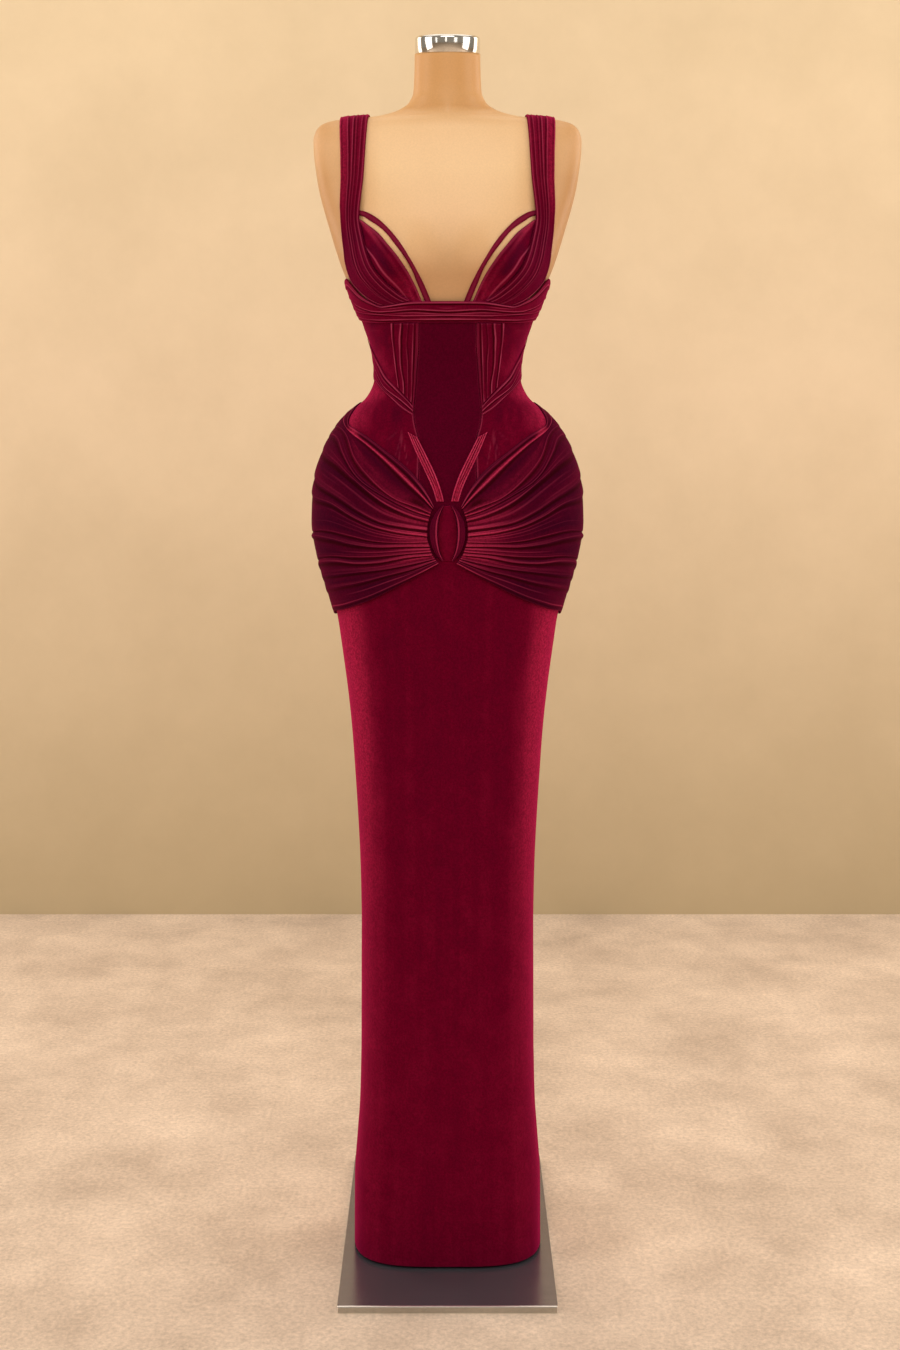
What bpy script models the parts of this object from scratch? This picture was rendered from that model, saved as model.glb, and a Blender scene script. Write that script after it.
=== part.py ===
"""Velvet evening dress on a limbless dress form with a flat steel stand.

The frame has +Z up, the wearer's front towards -Y and the wearer's left towards +X. The origin is the
middle of the stand plate's underside. Sizes are in millimetres, and MM turns them into Blender's metres.

Every piece of cloth is worked out from one body surface. It is given by a short table of upright
sections, each a superellipse, with two soft swells for the bust. A layer of cloth is a grid of points on
that surface, moved out along its normal. Seams and folds are curves on the surface. Their front
stretches are given as a width and a height on the upright plane through the body's axis, as an eye in
front of the dress sees them, and their back stretches as an angle round the body and a height.
"""

import math

import bmesh
import bpy
import numpy as np
from mathutils import Matrix

MM = 0.001

# Stand and dress form
PLATE_WIDTH = 286
PLATE_DEPTH = 444
PLATE_THICKNESS = 10
PLATE_EDGE = 1.5
BODY_Y = -24
POLE_RADIUS = 16
FLANGE_RADIUS = 42
FLANGE_HEIGHT = 8
COLLAR_RADIUS = 26
COLLAR_HEIGHT = 30
CHAMFER = 2.5
FORM_FOOT = 830
FOOT_TAPER = 0.93
FOOT_ROUND = 8
NECK_TOP = 1669
NECK_TILT = math.radians(7.5)
NECK_BACK = 5.5
CAP_RADIUS = 46
CAP_HEIGHT = 25
CAP_EDGE = 5

# Cloth
WALL = 1.6
SKIRT_WALL = 2.0
LAYER_GAP = 1.0
SEAM = 0.5
SEAT = 0.3
OVER_LAYER = WALL + LAYER_GAP
DRAPE_LIFT = SKIRT_WALL + 1.8
DRAPE_WALL = 1.8
KNOT_LIFT = SKIRT_WALL + 0.6
HEM = PLATE_THICKNESS + 3
WAIST_SEAM = 970

# The eye that the front widths and heights belong to
EYE_DISTANCE = 2400
EYE_HEIGHT = 1181.3

# How the body surface is searched: steps of each search, a distance past every surface, and the reach
# of the slope's sample
SNAP_STEPS = 12
HALVINGS = 40
OUTSIDE = 400
SLOPE_REACH = 0.4
SIGHT_SHARES = 201

# Bust swell: its middle, its spread and how far it stands forward
BUST_OUT = 76
BUST_HEIGHT = 1372
BUST_FORWARD = 36
BUST_SPREAD = 46
BUST_SPREAD_UP = 58
BUST_SPREAD_DOWN = 36

# Body sections: height, half width, depth forward, depth backward, squareness
BODY = (
    (0, 127.6, 103, 98, 3.4),
    (60, 127.6, 102.5, 97, 3.35),
    (104, 127.4, 101, 96, 3.3),
    (153, 124.2, 99, 94, 3.25),
    (202, 120.6, 97.5, 92, 3.2),
    (252, 119.1, 97, 90, 3.1),
    (301, 118.4, 96.5, 89, 3.05),
    (449, 118.4, 96, 88, 2.9),
    (547, 120.5, 96, 88, 2.8),
    (646, 126.2, 97, 90, 2.65),
    (745, 133.9, 99, 94, 2.5),
    (794, 139.6, 101, 97, 2.45),
    (843, 146.6, 103, 101, 2.4),
    (886, 153.5, 105, 106, 2.35),
    (928, 165, 108, 112, 2.3),
    (970, 175.5, 110, 118, 2.25),
    (1012, 182, 109, 121, 2.25),
    (1050, 181, 105, 119, 2.25),
    (1083, 176.5, 99, 112, 2.25),
    (1111, 167.5, 94, 104, 2.2),
    (1139, 154, 88, 94, 2.2),
    (1153, 144.5, 85, 89, 2.2),
    (1167, 131.5, 81, 83, 2.2),
    (1181, 115.5, 77, 76, 2.2),
    (1195, 106.3, 74.5, 71, 2.2),
    (1210, 101.6, 73, 68, 2.2),
    (1224, 101.2, 73, 68, 2.2),
    (1238, 102.6, 74, 70, 2.2),
    (1252, 105.4, 76, 73, 2.2),
    (1266, 109.8, 79, 76, 2.25),
    (1280, 115, 82, 79, 2.3),
    (1294, 119.8, 84.5, 82, 2.3),
    (1316, 129.2, 88, 86, 2.35),
    (1340, 138.5, 91, 90, 2.35),
    (1367, 149.5, 92, 93, 2.35),
    (1394, 158.5, 91, 95, 2.35),
    (1421, 166.5, 88, 97, 2.35),
    (1449, 174.8, 84, 97, 2.35),
    (1476, 181.6, 78, 94, 2.35),
    (1502, 185.8, 72, 88, 2.35),
    (1529, 189, 65, 78, 2.25),
    (1545, 189.5, 60, 70, 2.15),
    (1556, 187.5, 56, 65, 2.05),
    (1565, 182.5, 53, 61, 1.9),
    (1571, 174.5, 50.5, 58.5, 1.75),
    (1574.5, 163, 48.5, 57, 1.6),
    (1576.5, 150, 47.5, 56, 1.5),
    (1578, 129, 46.5, 55.5, 1.4),
    (1581, 104, 45.5, 55, 1.3),
    (1586, 81, 44.5, 54.5, 1.35),
    (1594, 62, 43.5, 54, 1.7),
    (1606, 51.5, 42.5, 53.5, 2),
    (1624, 48, 41.5, 52.5, 2),
    (1700, 46.5, 41, 52, 2),
)

# How far the form stays inside the cloth's inner face: height, clearance
FORM_FIT = ((0, 14), (980, 14), (1060, 10), (1130, 5), (1250, 5), (1306, 3), (1360, 1.8), (1500, 1.5),
            (1540, 0.6), (1700, 0.6))

FORM_COLUMNS = 28
FORM_ROWS = (FORM_FOOT, 950, 1080, 1145, 1180, 1214, 1255, 1300, 1325, 1345, 1362, 1379, 1400, 1428, 1460,
             1490, 1517, 1538, 1553, 1563, 1570.5, 1575, 1577.5, 1580.5, 1586, 1595, 1608, NECK_TOP)
BODICE_ROWS = (970, 1030, 1085, 1124, 1147, 1161, 1174, 1187, 1200, 1214, 1230, 1247, 1266, 1286, 1306)
SKIRT_ROWS = (HEM, 100, 200, 320, 460, 600, 700, 780, 840, 875, 905, 937, WAIST_SEAM - SEAM)

# Curves on the front: width from the middle, height
CENTRE_EDGE = ((41, 960), (41, 1060), (41, 1129), (44, 1140), (47, 1159), (47, 1170), (44, 1200),
               (42, 1229), (40, 1264), (39, 1310))
NECKLINE_EDGE = ((127, 1449), (120, 1448), (101, 1439), (85, 1425), (68, 1405), (54, 1383), (42, 1362),
                 (32, 1342), (24, 1322.5))
STRIP_LOWER_EDGE = ((128, 1442), (122, 1441), (108, 1433), (90, 1420), (75, 1402), (63, 1386),
                    (51, 1366), (42, 1344), (33, 1322.5))
CUP_EDGE = ((128, 1437), (122, 1435), (112, 1428), (98, 1417), (85, 1402), (71, 1385), (58, 1366),
            (47, 1346), (37, 1323))
CUP_MIDDLE = ((131, 1434), (127, 1421), (117, 1400), (100, 1377), (82, 1352), (68, 1335), (60, 1323))
CUP_OUTER_EDGE = ((134, 1430), (132, 1417), (127, 1395), (119, 1370), (108, 1348), (96, 1328), (86, 1317.5))

# Strap and cup drape: the front, then over the shoulder and down the back
STRAP_OUTER_FRONT = ((90, 1316.5), (105, 1323), (120, 1335), (132, 1350), (140, 1373), (143, 1395),
                     (146, 1418), (149, 1452), (150, 1497), (151, 1542))
STRAP_INNER_FRONT = ((52, 1323), (58, 1326), (78, 1342), (95, 1360), (109, 1385), (115, 1404),
                     (122, 1436), (121, 1462), (118, 1497), (115, 1542))
STRAP_TOP_OUTER = 150
STRAP_TOP_INNER = 109
STRAP_BACK_OUTER = ((146, 1540), (140, 1480), (132, 1420), (124, 1361))
STRAP_BACK_INNER = ((107, 1540), (101, 1480), (94, 1420), (86, 1361))
# Top edge of the back bodice: angle round the body from the front, height
BACK_EDGE = ((90, 1341), (112, 1360), (150, 1360), (165, 1350), (180, 1344))
SHOULDER_TURN = (58, 90, 122)
SHOULDER_CENTRE = 1530
# Shares of a strap's length with a row of points: close together over the shoulder
STRAP_ROWS = (0, 0.042, 0.084, 0.126, 0.168, 0.21, 0.252, 0.294, 0.336, 0.378, 0.42, 0.444, 0.468, 0.49,
              0.512, 0.534, 0.556, 0.578, 0.6, 0.622, 0.645, 0.67, 0.7, 0.74, 0.8, 0.9, 1)
STRAP_SEAT = 0.8
# Height, lift of the strap's inner face in front: it steps over the cup and the strip
STRAP_FRONT_SEAT = ((1300, 3.6), (1448, 3.2), (1490, STRAP_SEAT))
# Folds of a strap: place across from its outer edge, height of the crest at the cup and at the shoulder
STRAP_FOLDS = ((0.06, 2.2, 1.4), (0.27, 2.8, 1.9), (0.48, 2.6, 2.0), (0.7, 2.4, 1.8), (0.93, 2.0, 1.4))

# Under-bust band: front stretch of each line, and its height at the side seam
BAND_LINES = (
    (((0, 1321), (24, 1321), (51, 1321), (85, 1315.5), (91, 1314.5), (106, 1320.5), (122, 1332),
      (134, 1347), (138, 1352)), 1341),
    (((0, 1312), (24, 1312.5), (51, 1312.5), (85, 1310), (92, 1310), (104, 1311.5), (115, 1315),
      (127, 1321), (132, 1326)), 1328),
    (((0, 1303), (24, 1303), (51, 1303), (85, 1302), (92, 1302), (104, 1303), (114, 1305),
      (123, 1309), (129, 1312)), 1314),
    (((0, 1291), (24, 1291), (51, 1291), (85, 1290.5), (92, 1290.5), (103, 1291), (112, 1292),
      (119, 1294), (122, 1295)), 1296),
)
BAND_ACROSS = (0, 0.3, 0.6, 1)
BAND_FOLDS = ((0.08, 2.6, 1.4), (0.38, 3.0, 1.2), (0.62, 2.6, 1.0), (0.85, 2.4, 0.9))

# Upright waist pleats, from the band down to the swag
WAIST_PLEAT_OUTER = ((79, 1290), (77, 1264), (73, 1231), (69, 1199))
WAIST_PLEAT_MIDDLE = ((59, 1290), (59, 1260), (58, 1222), (57, 1184.5))
WAIST_PLEAT_INNER = ((41, 1290), (42, 1264), (43.5, 1229), (47.5, 1173.5))
WAIST_PLEAT_FOLDS = ((0.05, 1.8, 1.6), (0.33, 2.0, 1.8), (0.6, 1.4, 1.6), (0.84, 2.0, 1.8))

# Waist swag: height at the side seam, then its front stretch
SWAG_LINES = (
    (1269, ((106, 1257), (96, 1236), (85, 1215), (67, 1193.5), (53, 1177.5), (48.5, 1171.5))),
    (1254, ((104, 1243), (96, 1219), (88, 1203), (76, 1190), (65, 1180), (48.5, 1165))),
    (1228, ((102, 1216), (98, 1204), (89, 1193), (76, 1180), (65, 1169), (48.5, 1158.5))),
)
SWAG_ACROSS = (0, 0.45, 1)
SWAG_FOLDS = ((0.1, 0.8, 2.2), (0.5, 0.9, 2.4), (0.9, 0.8, 2.2))

# Short pleated band down to the knot
HIP_BAND_OUTER = ((56, 1136), (46, 1111), (33, 1083), (20, 1053), (15.5, 1038))
HIP_BAND_INNER = ((42, 1128), (27, 1098), (15.5, 1073), (7, 1047), (5, 1038))
HIP_BAND_FOLDS = ((0.12, 2.0, 2.6), (0.38, 2.2, 2.6), (0.62, 2.2, 2.6), (0.88, 2.0, 2.6))

# Hip drape lines, top to bottom: place across, front stretch from the knot, side height, back height
DRAPE_LINES = (
    (0.00, ((19, 1031), (24, 1042), (46, 1075), (87, 1110), (113, 1131), (138, 1149)), 1158, 1150),
    (0.05, ((20, 1028), (28, 1038), (53, 1064), (93, 1102), (113, 1120), (136, 1138)), 1149, 1138),
    (0.16, ((23, 1022), (37, 1029), (73, 1043), (107, 1072), (127, 1098), (138, 1130)), 1139, 1118),
    (0.22, ((24, 1018), (40, 1023), (87, 1045), (122, 1069), (144, 1107), (149, 1124)), 1130, 1105),
    (0.29, ((26, 1012), (44, 1017), (84, 1034), (130, 1069), (151, 1090), (165, 1103)), 1114, 1090),
    (0.37, ((28, 999), (60, 1003), (91, 1009), (120, 1023), (147, 1042), (174, 1063)), 1078, 1066),
    (0.43, ((28, 990), (73, 996), (103, 1004), (130, 1017), (155, 1034), (180, 1047)), 1055, 1050),
    (0.55, ((27, 982), (66, 981), (104, 985), (133, 993), (160, 1000), (182, 1000)), 1001, 1016),
    (0.61, ((25, 976), (60, 976), (100, 976), (130, 981), (157, 989), (181, 991)), 989, 1000),
    (0.69, ((23, 969), (60, 966), (100, 963), (130, 963), (157, 965), (178, 961)), 961, 978),
    (0.75, ((21, 964), (55, 961), (94, 954), (124, 953), (152, 957), (175, 951)), 947, 962),
    (0.82, ((18, 959), (50, 952), (90, 944), (120, 940), (147, 937), (169, 932)), 928, 944),
    (0.89, ((16, 956), (48, 945), (85, 935), (116, 926), (145, 920), (167, 914)), 911, 926),
    (1.00, ((12, 951), (38, 936), (73, 917), (103, 902), (134, 890), (157, 883)), 881, 900),
)
# Folds of the hip drape: place across, crest height at the knot, at the side and at the back
DRAPE_FOLDS = (
    (0.015, 1.6, 0.8, 1.4),
    (0.055, 2.4, 1.2, 1.6),
    (0.16, 2.2, 1.8, 2.0),
    (0.22, 2.2, 2.2, 2.4),
    (0.29, 2.4, 2.8, 2.8),
    (0.37, 2.4, 4.0, 3.0),
    (0.43, 2.6, 4.8, 3.4),
    (0.55, 2.4, 4.4, 3.4),
    (0.61, 2.6, 5.8, 4.0),
    (0.69, 2.2, 4.8, 3.2),
    (0.75, 2.4, 5.8, 3.6),
    (0.82, 2.2, 4.6, 3.2),
    (0.89, 2.2, 3.4, 3.0),
    (0.975, 1.8, 2.2, 2.4),
)
DRAPE_SIDE = 0.5
DRAPE_BACK_END = 179.85
DRAPE_ROWS = 17

# Knot: outline points of a fold, and of the pad between the two folds
KNOT_FOLD_OUTER = ((7, 1033), (17, 1021), (23, 1009), (25, 992), (22, 976), (17, 965), (8, 954))
KNOT_FOLD_INNER = ((5.5, 1032), (11.5, 1017), (13.5, 1005), (14, 992), (13, 978), (10.5, 966), (6, 955))
KNOT_PAD_EDGE = ((4.9, 1032), (10.9, 1017), (12.9, 1005), (13.4, 992), (12.4, 978), (9.9, 966), (5.4, 955))
KNOT_FOLD_CREST = 8.5
KNOT_PAD_CREST = 5.0
KNOT_FOLD_SQUARENESS = 0.9
KNOT_PAD_SQUARENESS = 0.6
# Share of a turn that the knot's height runs through from end to end, so that its ends stay thick
KNOT_END = 0.12

FOLD_FOOT = 0.018
FOLD_VALLEY = 0.25

VELVET = ("velvet", (0.22, 0.004, 0.03, 1), 0.75, 0.0)
VELVET_CENTRE = ("velvet_centre", (0.15, 0.003, 0.022, 1), 0.8, 0.0)
SKIN = ("form_shell", (0.78, 0.55, 0.35, 1), 0.55, 0.0)
CHROME = ("chrome", (0.8, 0.8, 0.8, 1), 0.1, 1.0)
STEEL = ("brushed_steel", (0.42, 0.4, 0.38, 1), 0.35, 1.0)


def smooth(knots, values, at, monotone=False):
    """Cubic curve through (knots, values), read at each of at. A monotone one never swings past a knot."""
    knots = np.asarray(knots, float)
    values = np.asarray(values, float)
    at = np.clip(np.asarray(at, float), knots[0], knots[-1])
    flat = values.reshape(len(knots), -1)
    steps = np.diff(knots)[:, None]
    rises = np.diff(flat, axis=0) / steps
    slopes = np.vstack([rises[:1], rises[-1:]]) if len(knots) == 2 else np.vstack([
        rises[:1],
        (rises[:-1] * steps[1:] + rises[1:] * steps[:-1]) / (steps[1:] + steps[:-1]),
        rises[-1:],
    ])
    if monotone and len(knots) > 2:
        turns = rises[:-1] * rises[1:] <= 0
        least = 3 * np.minimum(abs(rises[:-1]), abs(rises[1:]))
        slopes[1:-1] = np.where(turns, 0, np.clip(slopes[1:-1], -least, least))
    i = np.clip(np.searchsorted(knots, at, side="right") - 1, 0, len(knots) - 2)
    h = steps[i]
    u = ((at - knots[i])[:, None]) / h
    found = (
        (2 * u**3 - 3 * u**2 + 1) * flat[i]
        + (u**3 - 2 * u**2 + u) * h * slopes[i]
        + (3 * u**2 - 2 * u**3) * flat[i + 1]
        + (u**3 - u**2) * h * slopes[i + 1]
    )
    return found.reshape((len(at),) + values.shape[1:])


BODY_HEIGHTS = np.arange(0, 1700.5, 0.5)
BODY_SIZES = smooth([row[0] for row in BODY], [row[1:] for row in BODY], BODY_HEIGHTS, monotone=True)


def body_sizes(z):
    """Half width, depth forward, depth backward and squareness of the section at each height."""
    return [np.interp(z, BODY_HEIGHTS, BODY_SIZES[:, k]) for k in range(4)]


def bust(x, z):
    """How far the bust stands forward of the plain section."""
    spread = np.where(z > BUST_HEIGHT, BUST_SPREAD_UP, BUST_SPREAD_DOWN)
    upright = np.exp(-(((z - BUST_HEIGHT) / spread) ** 2))
    across = np.exp(-(((x - BUST_OUT) / BUST_SPREAD) ** 2)) + np.exp(-(((x + BUST_OUT) / BUST_SPREAD) ** 2))
    return BUST_FORWARD * upright * across


def level(p):
    """1 on the body surface, less inside it and more outside."""
    x, y, z = p[..., 0], p[..., 1], p[..., 2]
    half, front, back, power = body_sizes(z)
    depth = np.where(y < 0, front + bust(x, z), back)
    return ((abs(x) / half) ** power + (abs(y) / depth) ** power) ** (1 / power)


def gradient(p):
    """Slope of level at each point, per millimetre."""
    steps = SLOPE_REACH * np.eye(3)
    return np.stack([(level(p + step) - level(p - step)) / (2 * SLOPE_REACH) for step in steps], -1)


def snapped(p):
    """Each point moved along the slope of level until it lies on the body surface."""
    p = np.array(p, float)
    for _ in range(SNAP_STEPS):
        slope = gradient(p)
        p -= ((level(p) - 1) / (slope**2).sum(-1))[..., None] * slope
    return p


def lifted(p, lift):
    """Points of the body surface moved out along its normal."""
    slope = gradient(p)
    return p + np.asarray(lift)[..., None] * slope / np.linalg.norm(slope, axis=-1, keepdims=True)


def crossing(start, end):
    """Where each straight run from outside, start, to inside, end, meets the body surface."""
    outside, inside = np.array(start, float), np.array(end, float)
    for _ in range(HALVINGS):
        middle = (outside + inside) / 2
        within = (level(middle) < 1)[..., None]
        inside = np.where(within, middle, inside)
        outside = np.where(within, outside, middle)
    return (outside + inside) / 2


def round_body(angle, height):
    """Points of the body surface at an angle in degrees from the front, towards +X, and a height."""
    turn, height = np.broadcast_arrays(np.radians(angle), np.asarray(height, float))
    axis = np.stack([0 * turn, 0 * turn, height], -1)
    out = np.stack([np.sin(turn), -np.cos(turn), 0 * turn], -1)
    return crossing(axis + OUTSIDE * out, axis)


def seen(outline):
    """Points of the body surface that the eye sees at each width and height of the upright plane."""
    eye = np.array([0, -EYE_DISTANCE, EYE_HEIGHT])
    found = []
    for width, height in outline:
        run = np.array([width, 0, height]) - eye
        shares = np.linspace(0.9, 1, SIGHT_SHARES)
        points = eye + shares[:, None] * run
        inside = np.flatnonzero(level(points) < 1)
        if len(inside) and inside[0] > 0:
            found.append(crossing(points[inside[0] - 1], points[inside[0]]))
        else:
            found.append(snapped(points[np.argmin(level(points))]))
    return np.array(found)


def curve(points, at):
    """Smooth curve through points, read at shares of its length, and laid on the body surface."""
    steps = np.linalg.norm(np.diff(points, axis=0), axis=1)
    length = np.concatenate([[0], np.cumsum(steps)])
    return snapped(smooth(length / length[-1], points, at))


def patch(lines, places, across):
    """Grid of points on the body surface. lines holds one row of points for each place across."""
    return snapped(np.moveaxis(smooth(places, np.array(lines), across), 0, 1))


def fold_columns(folds):
    """Where a wall needs points to show its folds: each crest and the foot just past it."""
    columns = [0]
    for row in folds:
        columns += [row[0], row[0] + FOLD_FOOT]
    columns = [c for c in columns if c < 1 - FOLD_FOOT / 2] + [1]
    return np.array(sorted(set(columns)))


def fold_height(folds, across, along, stations):
    """Height of the folds at each point: a slow rise to each crest and a steep drop past it.

    Each fold gives its place across and its crest at each of the stations along."""
    across = np.asarray(across)[None, :]
    along = np.asarray(along)[:, None]
    height = np.zeros(np.broadcast_shapes(across.shape, along.shape))
    foot = 0.0
    for place, *crests in folds:
        crest = np.interp(along, stations, crests)
        rise = np.clip((across - foot) / max(place - foot, 1e-6), 0, 1)
        shape = FOLD_VALLEY + (1 - FOLD_VALLEY) * rise
        drop = np.clip(1 - (across - place) / FOLD_FOOT, 0, 1)
        shape = np.where(across <= place, shape, FOLD_VALLEY + (1 - FOLD_VALLEY) * drop)
        begins = (across >= foot - 1e-9) & (across <= place + FOLD_FOOT + 1e-9)
        height = np.where(begins, np.maximum(height, crest * shape), height)
        foot = place + FOLD_FOOT
    last = foot < across
    ending = np.interp(along, stations, folds[-1][1:]) * FOLD_VALLEY
    return np.where(last, ending, height)


def material(finish):
    """The named material, made the first time that it is asked for."""
    name, colour, roughness, metallic = finish
    found = bpy.data.materials.get(name)
    if found:
        return found
    made = bpy.data.materials.new(name)
    made.use_nodes = True
    shader = made.node_tree.nodes["Principled BSDF"]
    shader.inputs["Base Color"].default_value = colour
    shader.inputs["Roughness"].default_value = roughness
    shader.inputs["Metallic"].default_value = metallic
    made.diffuse_color = colour
    return made


def add_object(name, bm, finish, place=(0, BODY_Y, 0), flat_angle=math.radians(35)):
    """Turns a bmesh in millimetres into a named object of the dress collection."""
    bmesh.ops.recalc_face_normals(bm, faces=bm.faces)
    bmesh.ops.transform(bm, matrix=Matrix.Scale(MM, 4), verts=bm.verts)
    mesh = bpy.data.meshes.new(name)
    bm.to_mesh(mesh)
    bm.free()
    mesh.shade_smooth()
    mesh.set_sharp_from_angle(angle=flat_angle)
    mesh.materials.append(material(finish))
    made = bpy.data.objects.new(name, mesh)
    made.location = [c * MM for c in place]
    bpy.data.collections["evening_dress"].objects.link(made)
    return made


def mirrored(original, name):
    """The same piece for the wearer's other side."""
    mesh = original.data.copy()
    mesh.name = name
    mesh.transform(Matrix.Scale(-1, 4, (1, 0, 0)))
    mesh.flip_normals()
    made = bpy.data.objects.new(name, mesh)
    made.location = original.location
    bpy.data.collections["evening_dress"].objects.link(made)
    return made


def sheet_mesh(points):
    """A bmesh grid whose points are the given rows and columns of points, and its vertices in that order."""
    rows, columns = points.shape[:2]
    bm = bmesh.new()
    bmesh.ops.create_grid(bm, x_segments=columns - 1, y_segments=rows - 1, size=0.5)
    order = np.zeros((rows, columns), int)
    bm.verts.ensure_lookup_table()
    for v in bm.verts:
        order[round((v.co.y + 0.5) * (rows - 1)), round((v.co.x + 0.5) * (columns - 1))] = v.index
    for i in range(rows):
        for j in range(columns):
            bm.verts[order[i, j]].co = points[i, j]
    return bm, order


def wall(name, inner, outer, finish):
    """A piece of cloth between two grids of points: the inner sheet, extruded, with its copy moved out."""
    bm, order = sheet_mesh(inner)
    place = {}
    for i in range(order.shape[0]):
        for j in range(order.shape[1]):
            place[tuple(round(c, 3) for c in bm.verts[order[i, j]].co)] = outer[i, j]
    grown = bmesh.ops.extrude_face_region(bm, geom=bm.faces[:], use_keep_orig=True)
    for v in grown["geom"]:
        if isinstance(v, bmesh.types.BMVert):
            v.co = place[tuple(round(c, 3) for c in v.co)]
    return add_object(name, bm, finish)


def base_panel(name, first_angle, last_angle, rows, columns, thickness, finish, top=None):
    """A plain panel on the body, with level rows. Its side edges are an angle for each row.

    Where top is given, the panel runs on up to that edge, a table of angles and heights."""
    share = np.linspace(0, 1, columns + 1)
    angles = first_angle[:, None] + (last_angle - first_angle)[:, None] * share
    heights = np.repeat(np.array(rows, float)[:, None], columns + 1, axis=1)
    if top is not None:
        edge = np.interp(angles[-1], *zip(*top))
        extra = np.array([0.5, 1])[:, None]
        heights = np.vstack([heights, heights[-1] + extra * (edge - heights[-1])])
        angles = np.vstack([angles, angles[-1:], angles[-1:]])
    base = round_body(angles, heights)
    return wall(name, base, lifted(base, np.full(base.shape[:2], thickness)), finish)


def seam_angle(rows, gap):
    """Degrees that stand for a gap along the side of the body, at each height."""
    return np.degrees(gap / body_sizes(np.array(rows, float))[0])


def edge_angles(outline, rows):
    """Angle round the body of a front curve, at each height of rows."""
    points = seen(outline)
    at = np.degrees(np.arctan2(points[:, 0], -points[:, 1]))
    return smooth(points[:, 2], at, rows, monotone=True)


def make_stand():
    bpy.ops.mesh.primitive_cube_add(size=1, location=(0, 0, PLATE_THICKNESS / 2 * MM))
    plate = bpy.context.object
    plate.name = "stand_plate"
    plate.data.transform(Matrix.Diagonal((PLATE_WIDTH * MM, PLATE_DEPTH * MM, PLATE_THICKNESS * MM, 1)))
    edge = plate.modifiers.new("edge", "BEVEL")
    edge.width = PLATE_EDGE * MM
    edge.segments = 2
    plate.data.materials.append(material(STEEL))
    bpy.context.collection.objects.unlink(plate)
    bpy.data.collections["evening_dress"].objects.link(plate)

    flange_top = PLATE_THICKNESS + SEAT + FLANGE_HEIGHT
    pole_top = FORM_FOOT - SEAT
    low = flange_top - FLANGE_HEIGHT
    turned("pole_flange", ((0, flange_top), (FLANGE_RADIUS - CHAMFER, flange_top),
                           (FLANGE_RADIUS, flange_top - CHAMFER), (FLANGE_RADIUS, low), (0, low)), STEEL)
    turned("pole", ((0, pole_top), (POLE_RADIUS, pole_top), (POLE_RADIUS, flange_top + SEAT),
                    (0, flange_top + SEAT)), STEEL)
    turned("pole_collar", ((POLE_RADIUS + SEAT, pole_top), (COLLAR_RADIUS, pole_top),
                           (COLLAR_RADIUS, pole_top - COLLAR_HEIGHT + CHAMFER),
                           (COLLAR_RADIUS - CHAMFER, pole_top - COLLAR_HEIGHT),
                           (POLE_RADIUS + SEAT, pole_top - COLLAR_HEIGHT),
                           (POLE_RADIUS + SEAT, pole_top)), STEEL)


def turned(name, profile, finish, steps=20):
    """A turned piece from its profile of radius and height, run down its outer side."""
    bm = bmesh.new()
    closed = profile[0] == profile[-1]
    points = profile[:-1] if closed else profile
    verts = [bm.verts.new((radius, 0, height)) for radius, height in points]
    for first, second in zip(verts, verts[1:] + verts[:1] if closed else verts[1:]):
        bm.edges.new((first, second))
    made = add_object(name, bm, finish)
    spin = made.modifiers.new("spin", "SCREW")
    spin.steps = steps
    spin.render_steps = steps
    spin.use_merge_vertices = True
    spin.merge_threshold = 0.00001
    return made


def make_form():
    """The dress form's shell: one closed skin from its foot up to the neck."""
    rows = np.array(FORM_ROWS, float)
    angles = np.linspace(0, 360, FORM_COLUMNS + 1)
    clearance = np.interp(rows, *zip(*FORM_FIT))[:, None]
    base = round_body(angles[None, :], rows[:, None])
    skin = lifted(base, -clearance * np.ones((1, len(angles))))
    foot = skin[0] * np.array([FOOT_TAPER, FOOT_TAPER, 1])
    skin[0, :, 2] += FOOT_ROUND
    foot[:, 2] = FORM_FOOT
    skin[-1, :, 2] = NECK_TOP + (skin[-1, :, 1] - NECK_BACK) * math.tan(NECK_TILT)
    skin = np.concatenate([foot[None], skin])
    bm, _ = sheet_mesh(skin)
    bmesh.ops.remove_doubles(bm, verts=bm.verts, dist=0.01)
    bmesh.ops.holes_fill(bm, edges=bm.edges, sides=FORM_COLUMNS)
    add_object("form_shell", bm, SKIN)

    top = SEAT + CAP_HEIGHT
    low = SEAT
    corner = [(CAP_RADIUS - CAP_EDGE + CAP_EDGE * math.sin(a), top - CAP_EDGE + CAP_EDGE * math.cos(a))
              for a in np.radians((0, 30, 60, 90))]
    cap = turned("neck_cap", ((0, top), *corner, (CAP_RADIUS, low), (0, low)), CHROME)
    cap.location = (0, (BODY_Y + NECK_BACK) * MM, NECK_TOP * MM)
    cap.rotation_euler = (NECK_TILT, 0, 0)


def make_bodice():
    """The plain panels of the bodice, from the waist seam up."""
    rows = np.array(BODICE_ROWS, float)
    centre = edge_angles(CENTRE_EDGE, rows)
    gap = seam_angle(rows, SEAM / 2)
    front_gap = gap * 1.3
    base_panel("bodice_centre", -(centre - front_gap), centre - front_gap, rows, 4, WALL, VELVET_CENTRE)
    side = base_panel("bodice_side_left", centre + front_gap, 90 - gap, rows, 6, WALL, VELVET)
    mirrored(side, "bodice_side_right")

    back = base_panel("bodice_back_left", 90 + gap, 180 - gap, rows, 7, WALL, VELVET, top=BACK_EDGE)
    mirrored(back, "bodice_back_right")


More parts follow.
